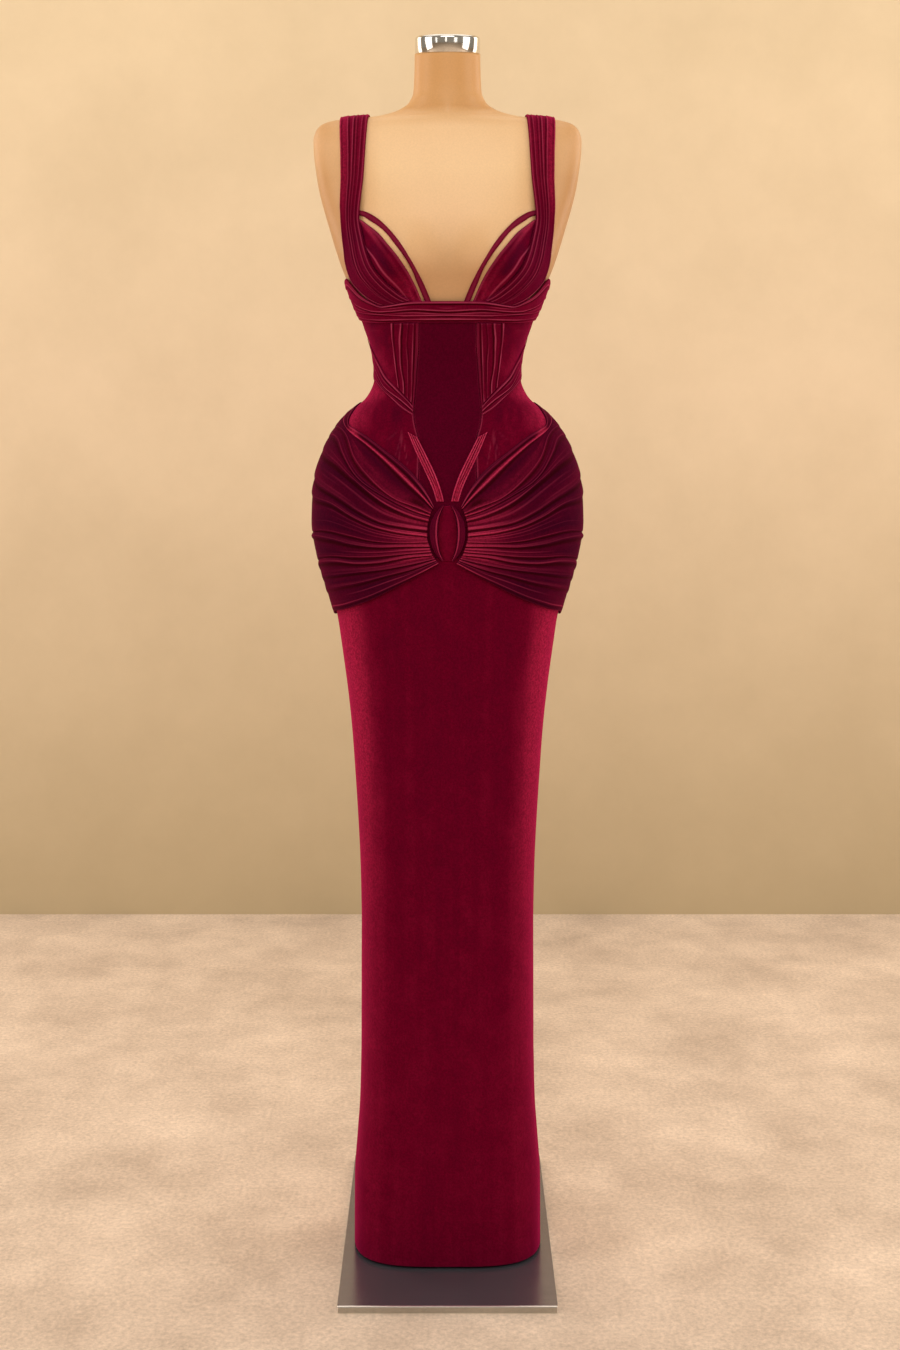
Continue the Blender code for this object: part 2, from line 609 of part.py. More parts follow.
def make_skirt():
    """The two panels of the skirt, from the waist seam to the hem."""
    rows = np.array(SKIRT_ROWS, float)
    gap = seam_angle(rows, SEAM / 2)
    base_panel("skirt_front", -90 + gap, 90 - gap, rows, 14, SKIRT_WALL, VELVET)
    base_panel("skirt_back", 90 + gap, 270 - gap, rows, 14, SKIRT_WALL, VELVET)


def make_cups():
    """The smooth cups and the narrow strips of the neckline, both running under the straps."""
    along = np.linspace(0, 1, 12)
    lines = [curve(seen(line), along) for line in (CUP_EDGE, CUP_MIDDLE, CUP_OUTER_EDGE)]
    base = patch(lines, (0, 0.5, 1), np.linspace(0, 1, 6))
    cup = wall("cup_left", base, lifted(base, np.full(base.shape[:2], WALL)), VELVET)
    mirrored(cup, "cup_right")

    along = np.linspace(0, 1, 12)
    lines = [curve(seen(line), along) for line in (NECKLINE_EDGE, STRIP_LOWER_EDGE)]
    base = patch(lines, (0, 1), (0, 0.5, 1))
    lift = np.tile((WALL, WALL + 0.4, WALL), (len(along), 1))
    strip = wall("neckline_strip_left", base, lifted(base, lift), VELVET)
    mirrored(strip, "neckline_strip_right")


def strap_edge(front, top_width, back):
    """One edge of a strap: up the front, over the shoulder and down the back."""
    over = []
    for turn in SHOULDER_TURN:
        centre = np.array([top_width, 4, SHOULDER_CENTRE])
        out = np.array([0, -math.cos(math.radians(turn)), math.sin(math.radians(turn))])
        over.append(crossing(centre + OUTSIDE * out, centre))
    behind = [crossing(np.array([x, OUTSIDE, z]), np.array([x, 0, z])) for x, z in back]
    return np.concatenate([seen(front), over, behind])


def make_straps():
    """Each strap with its cup drape, pleated along its whole length."""
    along = np.array(STRAP_ROWS)
    outer = strap_edge(STRAP_OUTER_FRONT, STRAP_TOP_OUTER, STRAP_BACK_OUTER)
    inner = strap_edge(STRAP_INNER_FRONT, STRAP_TOP_INNER, STRAP_BACK_INNER)
    columns = fold_columns(STRAP_FOLDS)
    base = patch([curve(outer, along), curve(inner, along)], (0, 1), columns)
    front_seat = np.interp(base[..., 2], *zip(*STRAP_FRONT_SEAT))
    seat = np.where(base[..., 1] < 0, front_seat, STRAP_SEAT)
    relief = fold_height(STRAP_FOLDS, columns, along, (0.15, 0.5))
    strap = wall("strap_left", lifted(base, seat), lifted(base, seat + WALL + relief), VELVET)
    mirrored(strap, "strap_right")


def make_band():
    """The draped band under the bust, from side seam to side seam."""
    along = np.linspace(0, 1, 11)
    lines = []
    for front, side_height in BAND_LINES:
        side = round_body(90 - seam_angle([side_height], SEAM / 2), [side_height])
        points = np.concatenate([seen(front), side])
        lines.append(curve(points, along))
    columns = fold_columns(BAND_FOLDS)
    half = patch(lines, BAND_ACROSS, columns)
    other = half[:0:-1] * np.array([-1, 1, 1])
    base = np.concatenate([other, half])
    relief = fold_height(BAND_FOLDS, columns, abs(np.linspace(-1, 1, len(base))), (0, 1))
    lift = np.full(base.shape[:2], OVER_LAYER)
    wall("underbust_band", lifted(base, lift), lifted(base, lift + WALL + relief), VELVET)


def make_waist():
    """The upright pleats beside the centre panel and the swag below them."""
    along = np.linspace(0, 1, 7)
    pleat_lines = (WAIST_PLEAT_OUTER, WAIST_PLEAT_MIDDLE, WAIST_PLEAT_INNER)
    lines = [curve(seen(line), along) for line in pleat_lines]
    columns = fold_columns(WAIST_PLEAT_FOLDS)
    base = patch(lines, (0, 0.5, 1), columns)
    relief = fold_height(WAIST_PLEAT_FOLDS, columns, along, (0, 1))
    lift = np.full(base.shape[:2], OVER_LAYER)
    pleats = wall("waist_pleats_left", lifted(base, lift), lifted(base, lift + WALL + relief), VELVET)
    mirrored(pleats, "waist_pleats_right")

    along = np.linspace(0, 1, 11)
    lines = []
    for side_height, front in SWAG_LINES:
        side = round_body(90 - seam_angle([side_height], SEAM / 2), [side_height])
        lines.append(curve(np.concatenate([side, seen(front)]), along))
    columns = fold_columns(SWAG_FOLDS)
    base = patch(lines, SWAG_ACROSS, columns)
    relief = fold_height(SWAG_FOLDS, columns, along, (0, 1))
    lift = np.full(base.shape[:2], OVER_LAYER)
    swag = wall("waist_swag_left", lifted(base, lift), lifted(base, lift + WALL + relief), VELVET)
    mirrored(swag, "waist_swag_right")


def make_hips():
    """The hip drape, fanned out from the knot round to the centre back, and the short band above it."""
    along = np.linspace(0, 1, DRAPE_ROWS)
    lines = []
    for _, front, side_height, back_height in DRAPE_LINES:
        side = round_body([90], [side_height])
        turns = np.array([118, 148, DRAPE_BACK_END])
        heights = side_height + (back_height - side_height) * (turns - 90) / 90
        front_part = curve(np.concatenate([seen(front), side]), along[along <= DRAPE_SIDE] / DRAPE_SIDE)
        rest = (along[along > DRAPE_SIDE] - DRAPE_SIDE) / (1 - DRAPE_SIDE)
        back_part = curve(np.concatenate([side, round_body(turns, heights)]), rest)
        lines.append(np.concatenate([front_part, back_part]))
    columns = fold_columns(DRAPE_FOLDS)
    base = patch(lines, [row[0] for row in DRAPE_LINES], columns)
    relief = fold_height(DRAPE_FOLDS, columns, along, (0, DRAPE_SIDE, 1))
    lift = np.full(base.shape[:2], DRAPE_LIFT)
    drape = wall("hip_drape_left", lifted(base, lift), lifted(base, lift + DRAPE_WALL + relief), VELVET)
    mirrored(drape, "hip_drape_right")

    along = np.linspace(0, 1, 7)
    lines = [curve(seen(line), along) for line in (HIP_BAND_OUTER, HIP_BAND_INNER)]
    columns = fold_columns(HIP_BAND_FOLDS)
    base = patch(lines, (0, 1), columns)
    relief = fold_height(HIP_BAND_FOLDS, columns, along, (0, 1))
    lift = np.full(base.shape[:2], OVER_LAYER)
    band = wall("hip_band_left", lifted(base, lift), lifted(base, lift + WALL + relief), VELVET)
    mirrored(band, "hip_band_right")


def make_knot():
    """The oval knot that gathers the drapes: a pad between two curved folds."""
    along = np.linspace(0, 1, 10)
    across = np.linspace(0, 1, 7)
    ends = np.sin(math.pi * (KNOT_END + (1 - 2 * KNOT_END) * along))[:, None]
    from_middle = (2 * across - 1) ** 2

    lines = [curve(seen(line), along) for line in (KNOT_FOLD_INNER, KNOT_FOLD_OUTER)]
    base = patch(lines, (0, 1), across)
    crest = KNOT_FOLD_CREST * ends * np.sqrt(1 - from_middle * KNOT_FOLD_SQUARENESS)
    lift = np.full(base.shape[:2], KNOT_LIFT)
    fold = wall("knot_fold_left", lifted(base, lift), lifted(base, lift + crest), VELVET)
    mirrored(fold, "knot_fold_right")

    edge = curve(seen(KNOT_PAD_EDGE), along)
    base = patch([edge, edge * np.array([-1, 1, 1])], (0, 1), across)
    crest = KNOT_PAD_CREST * ends * (1 - from_middle * KNOT_PAD_SQUARENESS)
    wall("knot_pad", lifted(base, lift), lifted(base, lift + crest), VELVET)


def main():
    for old in list(bpy.data.objects):
        bpy.data.objects.remove(old)
    dress = bpy.data.collections.new("evening_dress")
    bpy.context.scene.collection.children.link(dress)
    make_stand()
    make_form()
    make_bodice()
    make_skirt()
    make_cups()
    make_straps()
    make_band()
    make_waist()
    make_hips()
    make_knot()


main()
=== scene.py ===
"""Looks of the velvet evening dress, its dress form and its stand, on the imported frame.

Every piece of cloth is a thin closed shell laid on the same body surface as its CAD solid, with rolled
edges, rounded pleats and small creases. Sizes are in millimetres, and MM turns them into metres. Widths
and heights of front curves are on the upright plane through the body's axis, as the camera sees them.
"""

import math

import bpy
import numpy as np
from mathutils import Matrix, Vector


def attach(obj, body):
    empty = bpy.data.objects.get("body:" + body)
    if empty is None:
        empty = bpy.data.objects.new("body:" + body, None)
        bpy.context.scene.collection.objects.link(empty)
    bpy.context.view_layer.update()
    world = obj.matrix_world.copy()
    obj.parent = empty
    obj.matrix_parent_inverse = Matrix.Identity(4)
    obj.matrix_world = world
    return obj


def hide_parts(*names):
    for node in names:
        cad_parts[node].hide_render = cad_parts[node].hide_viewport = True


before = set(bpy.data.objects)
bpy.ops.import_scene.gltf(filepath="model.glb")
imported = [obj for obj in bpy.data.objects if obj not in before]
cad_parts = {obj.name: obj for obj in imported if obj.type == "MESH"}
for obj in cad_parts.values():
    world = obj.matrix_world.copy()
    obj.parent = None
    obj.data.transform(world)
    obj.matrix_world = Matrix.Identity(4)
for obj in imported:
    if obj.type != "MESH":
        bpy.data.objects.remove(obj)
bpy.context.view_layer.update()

MM = 0.001
MIRROR = np.array([-1, 1, 1])

# Stand and dress form
PLATE_THICKNESS = 10
BODY_Y = -24
FORM_FOOT = 830
NECK_TOP = 1669
NECK_TILT = math.radians(7.5)
NECK_BACK = 5.5
CAP_RADIUS = 46
CAP_HEIGHT = 25
CAP_EDGE = 5
CAP_BEVEL = 0.6
CAP_HOLE = 0.5
CAP_COLUMNS = 72
FORM_COLUMNS = 128
# Rows of the form: runs of even ones by first height, last height and number, then heights of the first
# rows above the foot, their shares of the full width, and the shares that the rings of both closed ends
# shrink to
FORM_RUNS = ((850, 1500, 60), (1506, 1612, 66), (1620, NECK_TOP, 8))
FOOT_STEPS = (0.2, 1, 3, 8)
FOOT_TAPERS = (0.93, 0.955, 0.98, 1)
END_SHARES = (0.02, 0.5)

# Cloth: full walls, walls under the relief of a plain piece, gaps and lifts
WALL = 1.6
SKIRT_WALL = 2.0
PLAIN_WALL = 1.4
SKIRT_PLAIN_WALL = 1.7
LAYER_GAP = 1.0
SEAM = 0.5
SEAT = 0.3
OVER_LAYER = WALL + LAYER_GAP
DRAPE_LIFT = SKIRT_WALL + 1.8
DRAPE_INNER_WALL = 1.5
DRAPE_EDGE_LIFT = 1.9
DRAPE_EDGE_WALL = 0.6
KNOT_LIFT = SKIRT_WALL + 0.6
HEM = PLATE_THICKNESS + 3
WAIST_SEAM = 970
BODICE_TOP = 1306

# The eye that the front widths and heights belong to
EYE_DISTANCE = 2400
EYE_HEIGHT = 1181.3

# How the body surface is searched: steps of each search, a distance past every surface, and the reach
# of the slope's sample
SNAP_STEPS = 12
HALVINGS = 40
OUTSIDE = 400
SLOPE_REACH = 0.4
SIGHT_SHARES = 201

# Bust swell: its middle, its spread and how far it stands forward
BUST_OUT = 76
BUST_HEIGHT = 1372
BUST_FORWARD = 36
BUST_SPREAD = 46
BUST_SPREAD_UP = 58
BUST_SPREAD_DOWN = 36

# Body sections: height, half width, depth forward, depth backward, squareness
BODY = (
    (0, 127.6, 103, 98, 3.4),
    (60, 127.6, 102.5, 97, 3.35),
    (104, 127.4, 101, 96, 3.3),
    (153, 124.2, 99, 94, 3.25),
    (202, 120.6, 97.5, 92, 3.2),
    (252, 119.1, 97, 90, 3.1),
    (301, 118.4, 96.5, 89, 3.05),
    (449, 118.4, 96, 88, 2.9),
    (547, 120.5, 96, 88, 2.8),
    (646, 126.2, 97, 90, 2.65),
    (745, 133.9, 99, 94, 2.5),
    (794, 139.6, 101, 97, 2.45),
    (843, 146.6, 103, 101, 2.4),
    (886, 153.5, 105, 106, 2.35),
    (928, 165, 108, 112, 2.3),
    (970, 175.5, 110, 118, 2.25),
    (1012, 182, 109, 121, 2.25),
    (1050, 181, 105, 119, 2.25),
    (1083, 176.5, 99, 112, 2.25),
    (1111, 167.5, 94, 104, 2.2),
    (1139, 154, 88, 94, 2.2),
    (1153, 144.5, 85, 89, 2.2),
    (1167, 131.5, 81, 83, 2.2),
    (1181, 115.5, 77, 76, 2.2),
    (1195, 106.3, 74.5, 71, 2.2),
    (1210, 101.6, 73, 68, 2.2),
    (1224, 101.2, 73, 68, 2.2),
    (1238, 102.6, 74, 70, 2.2),
    (1252, 105.4, 76, 73, 2.2),
    (1266, 109.8, 79, 76, 2.25),
    (1280, 115, 82, 79, 2.3),
    (1294, 119.8, 84.5, 82, 2.3),
    (1316, 129.2, 88, 86, 2.35),
    (1340, 138.5, 91, 90, 2.35),
    (1367, 149.5, 92, 93, 2.35),
    (1394, 158.5, 91, 95, 2.35),
    (1421, 166.5, 88, 97, 2.35),
    (1449, 174.8, 84, 97, 2.35),
    (1476, 181.6, 78, 94, 2.35),
    (1502, 185.8, 72, 88, 2.35),
    (1529, 189, 65, 78, 2.25),
    (1545, 189.5, 60, 70, 2.15),
    (1556, 187.5, 56, 65, 2.05),
    (1565, 182.5, 53, 61, 1.9),
    (1571, 174.5, 50.5, 58.5, 1.75),
    (1574.5, 163, 48.5, 57, 1.6),
    (1576.5, 150, 47.5, 56, 1.5),
    (1578, 129, 46.5, 55.5, 1.4),
    (1581, 104, 45.5, 55, 1.3),
    (1586, 81, 44.5, 54.5, 1.35),
    (1594, 62, 43.5, 54, 1.7),
    (1606, 51.5, 42.5, 53.5, 2),
    (1624, 48, 41.5, 52.5, 2),
    (1700, 46.5, 41, 52, 2),
)

# Curves on the front: width from the middle, height
CENTRE_EDGE = ((41, 960), (41, 1060), (41, 1129), (44, 1140), (47, 1159), (47, 1170), (44, 1200),
               (42, 1229), (40, 1264), (39, 1310))
NECKLINE_EDGE = ((127, 1449), (120, 1448), (101, 1439), (85, 1425), (68, 1405), (54, 1383), (42, 1362),
                 (32, 1342), (24, 1322.5))
STRIP_LOWER_EDGE = ((128, 1442), (122, 1441), (108, 1433), (90, 1420), (75, 1402), (63, 1386),
                    (51, 1366), (42, 1344), (33, 1322.5))
CUP_EDGE = ((128, 1437), (122, 1435), (112, 1428), (98, 1417), (85, 1402), (71, 1385), (58, 1366),
            (47, 1346), (37, 1323))
CUP_MIDDLE = ((131, 1434), (127, 1421), (117, 1400), (100, 1377), (82, 1352), (68, 1335), (60, 1323))

# Strap and cup drape: the front, then over the shoulder and down the back
STRAP_OUTER_FRONT = ((90, 1316.5), (105, 1323), (120, 1335), (132, 1350), (140, 1373), (143, 1395),
                     (146, 1418), (149, 1452), (150, 1497), (151, 1542))
STRAP_INNER_FRONT = ((52, 1323), (58, 1326), (78, 1342), (95, 1360), (109, 1385), (115, 1404),
                     (122, 1436), (121, 1462), (118, 1497), (115, 1542))
STRAP_TOP_OUTER = 150
STRAP_TOP_INNER = 109
STRAP_BACK_OUTER = ((146, 1540), (140, 1480), (132, 1420), (124, 1361))
STRAP_BACK_INNER = ((107, 1540), (101, 1480), (94, 1420), (86, 1361))
# Top edge of the back bodice: angle round the body from the front, height
BACK_EDGE = ((90, 1341), (112, 1360), (150, 1360), (165, 1350), (180, 1344))
SHOULDER_TURN = (58, 90, 122)
SHOULDER_CENTRE = 1530
STRAP_SEAT = 0.8
# Height, lift of the strap's inner face in front: it steps over the cup and the strip
STRAP_FRONT_SEAT = ((1300, 3.6), (1448, 3.2), (1490, STRAP_SEAT))

# Under-bust band: front stretch of each line, and its height at the side seam
BAND_LINES = (
    (((0, 1321), (24, 1321), (51, 1321), (85, 1315.5), (91, 1314.5), (106, 1320.5), (122, 1332),
      (134, 1347), (138, 1352)), 1341),
    (((0, 1312), (24, 1312.5), (51, 1312.5), (85, 1310), (92, 1310), (104, 1311.5), (115, 1315),
      (127, 1321), (132, 1326)), 1328),
    (((0, 1303), (24, 1303), (51, 1303), (85, 1302), (92, 1302), (104, 1303), (114, 1305),
      (123, 1309), (129, 1312)), 1314),
    (((0, 1291), (24, 1291), (51, 1291), (85, 1290.5), (92, 1290.5), (103, 1291), (112, 1292),
      (119, 1294), (122, 1295)), 1296),
)
BAND_ACROSS = (0, 0.3, 0.6, 1)
BAND_FOLDS = ((0.08, 2.6, 1.4), (0.38, 3.0, 1.2), (0.62, 2.6, 1.0), (0.85, 2.4, 0.9))

# Upright waist pleats, from the band down to the swag
WAIST_PLEAT_OUTER = ((79, 1290), (77, 1264), (73, 1231), (69, 1199))
WAIST_PLEAT_MIDDLE = ((59, 1290), (59, 1260), (58, 1222), (57, 1184.5))
WAIST_PLEAT_INNER = ((41, 1290), (42, 1264), (43.5, 1229), (47.5, 1173.5))
WAIST_PLEAT_FOLDS = ((0.05, 1.8, 1.6), (0.33, 2.0, 1.8), (0.6, 1.4, 1.6), (0.84, 2.0, 1.8))

# Waist swag: height at the side seam, then its front stretch
SWAG_LINES = (
    (1269, ((106, 1257), (96, 1236), (85, 1215), (67, 1193.5), (53, 1177.5), (48.5, 1171.5))),
    (1254, ((104, 1243), (96, 1219), (88, 1203), (76, 1190), (65, 1180), (48.5, 1165))),
    (1228, ((102, 1216), (98, 1204), (89, 1193), (76, 1180), (65, 1169), (48.5, 1158.5))),
)
SWAG_ACROSS = (0, 0.45, 1)
SWAG_FOLDS = ((0.1, 0.8, 2.2), (0.5, 0.9, 2.4), (0.9, 0.8, 2.2))

# Short pleated band down to the knot
HIP_BAND_OUTER = ((56, 1136), (46, 1111), (33, 1083), (20, 1053), (15.5, 1038))
HIP_BAND_INNER = ((42, 1128), (27, 1098), (15.5, 1073), (7, 1047), (5, 1038))
HIP_BAND_FOLDS = ((0.12, 2.0, 2.6), (0.38, 2.2, 2.6), (0.62, 2.2, 2.6), (0.88, 2.0, 2.6))

# Hip drape lines, top to bottom: place across, front stretch from the knot, side height, back height
DRAPE_LINES = (
    (0.00, ((19, 1031), (24, 1042), (46, 1075), (87, 1110), (113, 1130), (129, 1140), (137, 1146),
            (136, 1156), (130, 1166)), 1176, 1152),
    (0.05, ((20, 1028), (28, 1038), (53, 1064), (93, 1102), (113, 1119), (130, 1132), (138, 1139),
            (142, 1148)), 1164, 1140),
    (0.16, ((23, 1022), (37, 1029), (73, 1043), (107, 1072), (127, 1098), (138, 1130)), 1143, 1119),
    (0.22, ((24, 1018), (40, 1023), (87, 1045), (122, 1069), (144, 1107), (149, 1124)), 1130, 1105),
    (0.29, ((26, 1012), (44, 1017), (84, 1034), (130, 1069), (151, 1090), (165, 1103)), 1114, 1090),
    (0.37, ((28, 999), (60, 1003), (91, 1009), (120, 1023), (147, 1042), (174, 1063)), 1078, 1066),
    (0.43, ((28, 990), (73, 996), (103, 1004), (130, 1017), (155, 1034), (180, 1047)), 1055, 1050),
    (0.55, ((27, 982), (66, 981), (104, 985), (133, 993), (160, 1000), (182, 1000)), 1001, 1016),
    (0.61, ((25, 976), (60, 976), (100, 976), (130, 981), (157, 989), (181, 991)), 989, 1000),
    (0.69, ((23, 969), (60, 966), (100, 963), (130, 963), (157, 965), (178, 961)), 961, 978),
    (0.75, ((21, 964), (55, 961), (94, 954), (124, 953), (152, 957), (175, 951)), 947, 962),
    (0.82, ((18, 959), (50, 952), (90, 944), (120, 940), (147, 937), (169, 932)), 928, 944),
    (0.89, ((16, 956), (48, 945), (85, 935), (116, 926), (145, 920), (167, 914)), 911, 926),
    (1.00, ((12, 951), (38, 936), (73, 917), (103, 902), (134, 890), (157, 883)), 881, 900),
)
# Folds of the hip drape: place across, crest height at the knot, at the side and at the back
DRAPE_FOLDS = (
    (0.015, 1.6, 0.8, 1.4),
    (0.055, 2.4, 1.2, 1.6),
    (0.16, 2.2, 1.8, 2.0),
    (0.22, 2.2, 2.2, 2.4),
    (0.29, 2.4, 2.8, 2.8),
    (0.37, 2.4, 4.0, 3.0),
    (0.43, 2.6, 4.8, 3.4),
    (0.55, 2.4, 4.4, 3.4),
    (0.61, 2.6, 5.8, 4.0),
    (0.69, 2.2, 4.8, 3.2),
    (0.75, 2.4, 5.8, 3.6),
    (0.82, 2.2, 4.6, 3.2),
    (0.89, 2.2, 3.4, 3.0),
    (0.975, 1.8, 2.2, 2.4),
)
# Share of a drape's length that lies in front of the side, and the turns of its points behind it
DRAPE_SIDE = 0.5
DRAPE_BACK_TURNS = (118, 148, 179.85)

# Knot: outline points of a fold, and of the pad between the two folds
KNOT_FOLD_OUTER = ((7, 1033), (17, 1021), (23, 1009), (25, 992), (22, 976), (17, 965), (8, 954))
KNOT_FOLD_INNER = ((5.5, 1032), (11.5, 1017), (13.5, 1005), (14, 992), (13, 978), (10.5, 966), (6, 955))
KNOT_PAD_EDGE = ((4.9, 1032), (10.9, 1017), (12.9, 1005), (13.4, 992), (12.4, 978), (9.9, 966), (5.4, 955))
KNOT_FOLD_CREST = 8.5
KNOT_PAD_CREST = 5.0
KNOT_FOLD_SQUARENESS = 0.9
KNOT_PAD_SQUARENESS = 0.6
# Share of a turn that the knot's height runs through from end to end, so that its ends stay thick
KNOT_END = 0.12

# Folds: share of the width that a crest drops over, shares of its height that are left in the valley and
# that a finer pleat stands up by, and in millimetres half the width of the painted highlight line on a
# fine pleat and of the painted shadow line past a crest, and how far past it lies
FOLD_FOOT = 0.018
FOLD_VALLEY = 0.25
FINE_HEIGHT = 0.3
FINE_HIGHLIGHT_LINE = 0.7
PAINTED_SHADOW_LINE = 1.1
PAINTED_SHADOW_PAST = 2.31

# Soft creases on the side front: two ends, bow, width and height
SIDE_CREASES = (
    ((65, 1142), (77, 1094), 2.5, 1.0, 0.3),
    ((64, 1142), (70, 1088), 1.5, 1.0, 0.4),
    ((63, 1141), (54, 1082), -1, 0.9, 0.4),
    ((66, 1143), (92, 1122), 3, 2.4, 0.2),
    ((88, 1280), (120, 1283), 1.5, 2.4, 0.16),
    ((86, 1269), (117, 1271), 1.2, 2.2, 0.16),
    ((84, 1257), (108, 1259), 1, 2.4, 0.14),
)
# Soft creases at the small of the back, in the same way
BACK_CREASES = (
    ((6, 1226), (58, 1236), 3, 3.2, 0.7),
    ((5, 1206), (74, 1210), -3, 3.6, 0.8),
    ((8, 1188), (62, 1180), -3, 3.4, 0.7),
    ((30, 1250), (88, 1262), 4, 4.0, 0.5),
    ((24, 1166), (96, 1152), -4, 4.2, 0.5),
)
# Strength of the painted highlight line on the crest of each fold, at the start and at the middle of its
# piece, and how many finer pleats lie before each fold of the hip drape
DRAPE_SHINE = ((0.8, 0.8), (1.0, 1.0), (0.75, 0.5), (0.6, 0.4), (0.9, 0.2), (1.0, 0.15), (0.9, 0.12),
               (0.9, 0.12), (0.9, 0.2), (0.8, 0.12), (0.9, 0.2), (0.7, 0.12), (0.7, 0.12), (0.9, 0.6))
DRAPE_FINE = (0, 0, 0, 1, 4, 4, 3, 4, 3, 3, 3, 3, 3, 3)
STRAP_SHINE = ((0.7, 0.7), (0.3, 0.7), (0.7, 0.6), (0.2, 0.8), (0.7, 0.6), (0.4, 0.7))
WAIST_SHINE = ((0.9, 1.0), (0.9, 1.0), (0.1, 0.3), (0.15, 0.6))
# Folds of the strap: place across from its outer edge, crest height at the cup and at the shoulder
STRAP_PLEATS = ((0.04, 1.3, 0.8), (0.36, 2.1, 1.3), (0.5, 1.8, 1.2), (0.63, 1.9, 1.3), (0.79, 1.6, 1.2),
                (0.95, 1.3, 1.0))
# How far the visible skin stays inside the cloth's inner face: height, clearance
SKIN_FIT = ((0, 14), (980, 14), (1060, 10), (1130, 5), (1250, 5), (1306, 2), (1330, 0.8), (1700, 0.6))

# Grid of each piece, along it and across: even steps, and the length that the close steps at its edges are
# measured on
GRIDS = {
    "skirt": ((120, WAIST_SEAM), (96, 400)),
    "bodice_centre": ((84, BODICE_TOP - WAIST_SEAM), (44, 84)),
    "bodice_side": ((84, BODICE_TOP - WAIST_SEAM), (60, 110)),
    "bodice_back": ((96, 370), (61, 190)),
    "cup": ((70, 150), (56, 45)),
    "neckline_strip": ((70, 165), (9, 9)),
    "strap": ((176, 560), (58, 42)),
    "waist_pleats": ((56, 115), (52, 30)),
    "waist_swag": ((90, 175), (40, 24)),
    "hip_drape": ((118, 430), (236, 200)),
    "hip_band": ((56, 120), (44, 16)),
    "knot_fold": ((50, 85), (30, 10)),
    "knot_pad": ((50, 85), (30, 22)),
}
# The under-bust band has even rows along each half
BAND_ROWS = 84
BAND_GRID_ACROSS = (52, 32)

# Cloth detail: how far in an edge rolls over, steps close to an edge, the height that counts as a full
# crest, and the rows and columns of noise swells
EDGE_ROLL = 1.5
EDGE_STEPS = (0.2, 0.6, 1.1, 1.7)
CREST_SCALE = 1.1
NOISE_TABLE = 61
# Tone of the pile, from 0, the darkest, to 1: where it lies plain, and the painted sheen the sides add
NAP_PLAIN = 0.35
NAP_SIDE_SHEEN = 0.65
# Seat and thickness of a thin piece that lies on another piece of cloth
LOW_SEAT = WALL + 0.6
LOW_WALL = 1.0
# Share of full height that the pleats of a thin piece keep
LOW_PLEATS = 0.7
# The swag where it comes out of the side seam
SWAG_EDGE_SEAT = 1.8
SWAG_EDGE_WALL = 0.4
# How far the cups and strips run down under the band, and the cup's outer edge, hidden by strap and band
TUCK = 7
CUP_HIDDEN_EDGE = ((134, 1430), (133, 1417), (132, 1395), (132, 1370), (129, 1346), (112, 1323), (98, 1310))
# Painted sheen where the cloth turns to the side, by height; below 0 it is painted shade: height, share
SIDE_LIGHT = ((0, -0.35), (194, -0.05), (476, 0.35), (843, 1.08), (1120, 1.2), (1170, 1.3), (1215, 0.4),
              (1280, 0), (1400, 0))
# A wider and fainter painted sheen on the lower skirt: height, share
LOW_LIGHT = ((0, 0.28), (476, 0.14), (843, 0))

# Where the plate's front face and edge, with a paler tone and a painted highlight, begin and end, in metres
PLATE_EDGE_NEAR = -0.2220
PLATE_EDGE_FAR = -0.2204

# Camera: focal length and sensor in millimetres, and the frame's shift across and down as shares of its
# longer side
LENS = 45.44
SENSOR = 36
SHIFT_ACROSS = 2.5 / 1350
SHIFT_DOWN = 275 / 1350

# Stage, in metres: where the wall stands, half the floor's width, the wall's height and the point that the
# lamps face, then two tones of light
WALL_BEHIND = 1.49
STAGE_HALF = 6
STAGE_HIGH = 5
LAMP_TARGET = Vector((0, BODY_Y * MM, 1.0))
WARM = (1.0, 0.92, 0.84)
NEUTRAL = (1.0, 0.96, 0.9)


def smooth(knots, values, at, monotone=False):
    """Cubic curve through (knots, values), read at each of at. A monotone one never swings past a knot."""
    knots = np.asarray(knots, float)
    values = np.asarray(values, float)
    at = np.clip(np.asarray(at, float), knots[0], knots[-1])
    flat = values.reshape(len(knots), -1)
    steps = np.diff(knots)[:, None]
    rises = np.diff(flat, axis=0) / steps
    slopes = np.vstack([rises[:1], rises[-1:]]) if len(knots) == 2 else np.vstack([
        rises[:1],
        (rises[:-1] * steps[1:] + rises[1:] * steps[:-1]) / (steps[1:] + steps[:-1]),
        rises[-1:],
    ])
    if monotone and len(knots) > 2:
        turns = rises[:-1] * rises[1:] <= 0
        least = 3 * np.minimum(abs(rises[:-1]), abs(rises[1:]))
        slopes[1:-1] = np.where(turns, 0, np.clip(slopes[1:-1], -least, least))
    i = np.clip(np.searchsorted(knots, at, side="right") - 1, 0, len(knots) - 2)
    h = steps[i]
    u = ((at - knots[i])[:, None]) / h
    found = (
        (2 * u**3 - 3 * u**2 + 1) * flat[i]
        + (u**3 - 2 * u**2 + u) * h * slopes[i]
        + (3 * u**2 - 2 * u**3) * flat[i + 1]
        + (u**3 - u**2) * h * slopes[i + 1]
    )
    return found.reshape((len(at),) + values.shape[1:])


BODY_HEIGHTS = np.arange(0, 1700.5, 0.5)
BODY_SIZES = smooth([row[0] for row in BODY], [row[1:] for row in BODY], BODY_HEIGHTS, monotone=True)


def body_sizes(z):
    """Half width, depth forward, depth backward and squareness of the section at each height."""
    return [np.interp(z, BODY_HEIGHTS, BODY_SIZES[:, k]) for k in range(4)]


def bust(x, z):
    """How far the bust stands forward of the plain section."""
    spread = np.where(z > BUST_HEIGHT, BUST_SPREAD_UP, BUST_SPREAD_DOWN)
    upright = hump(z - BUST_HEIGHT, spread)
    across = hump(x - BUST_OUT, BUST_SPREAD) + hump(x + BUST_OUT, BUST_SPREAD)
    return BUST_FORWARD * upright * across


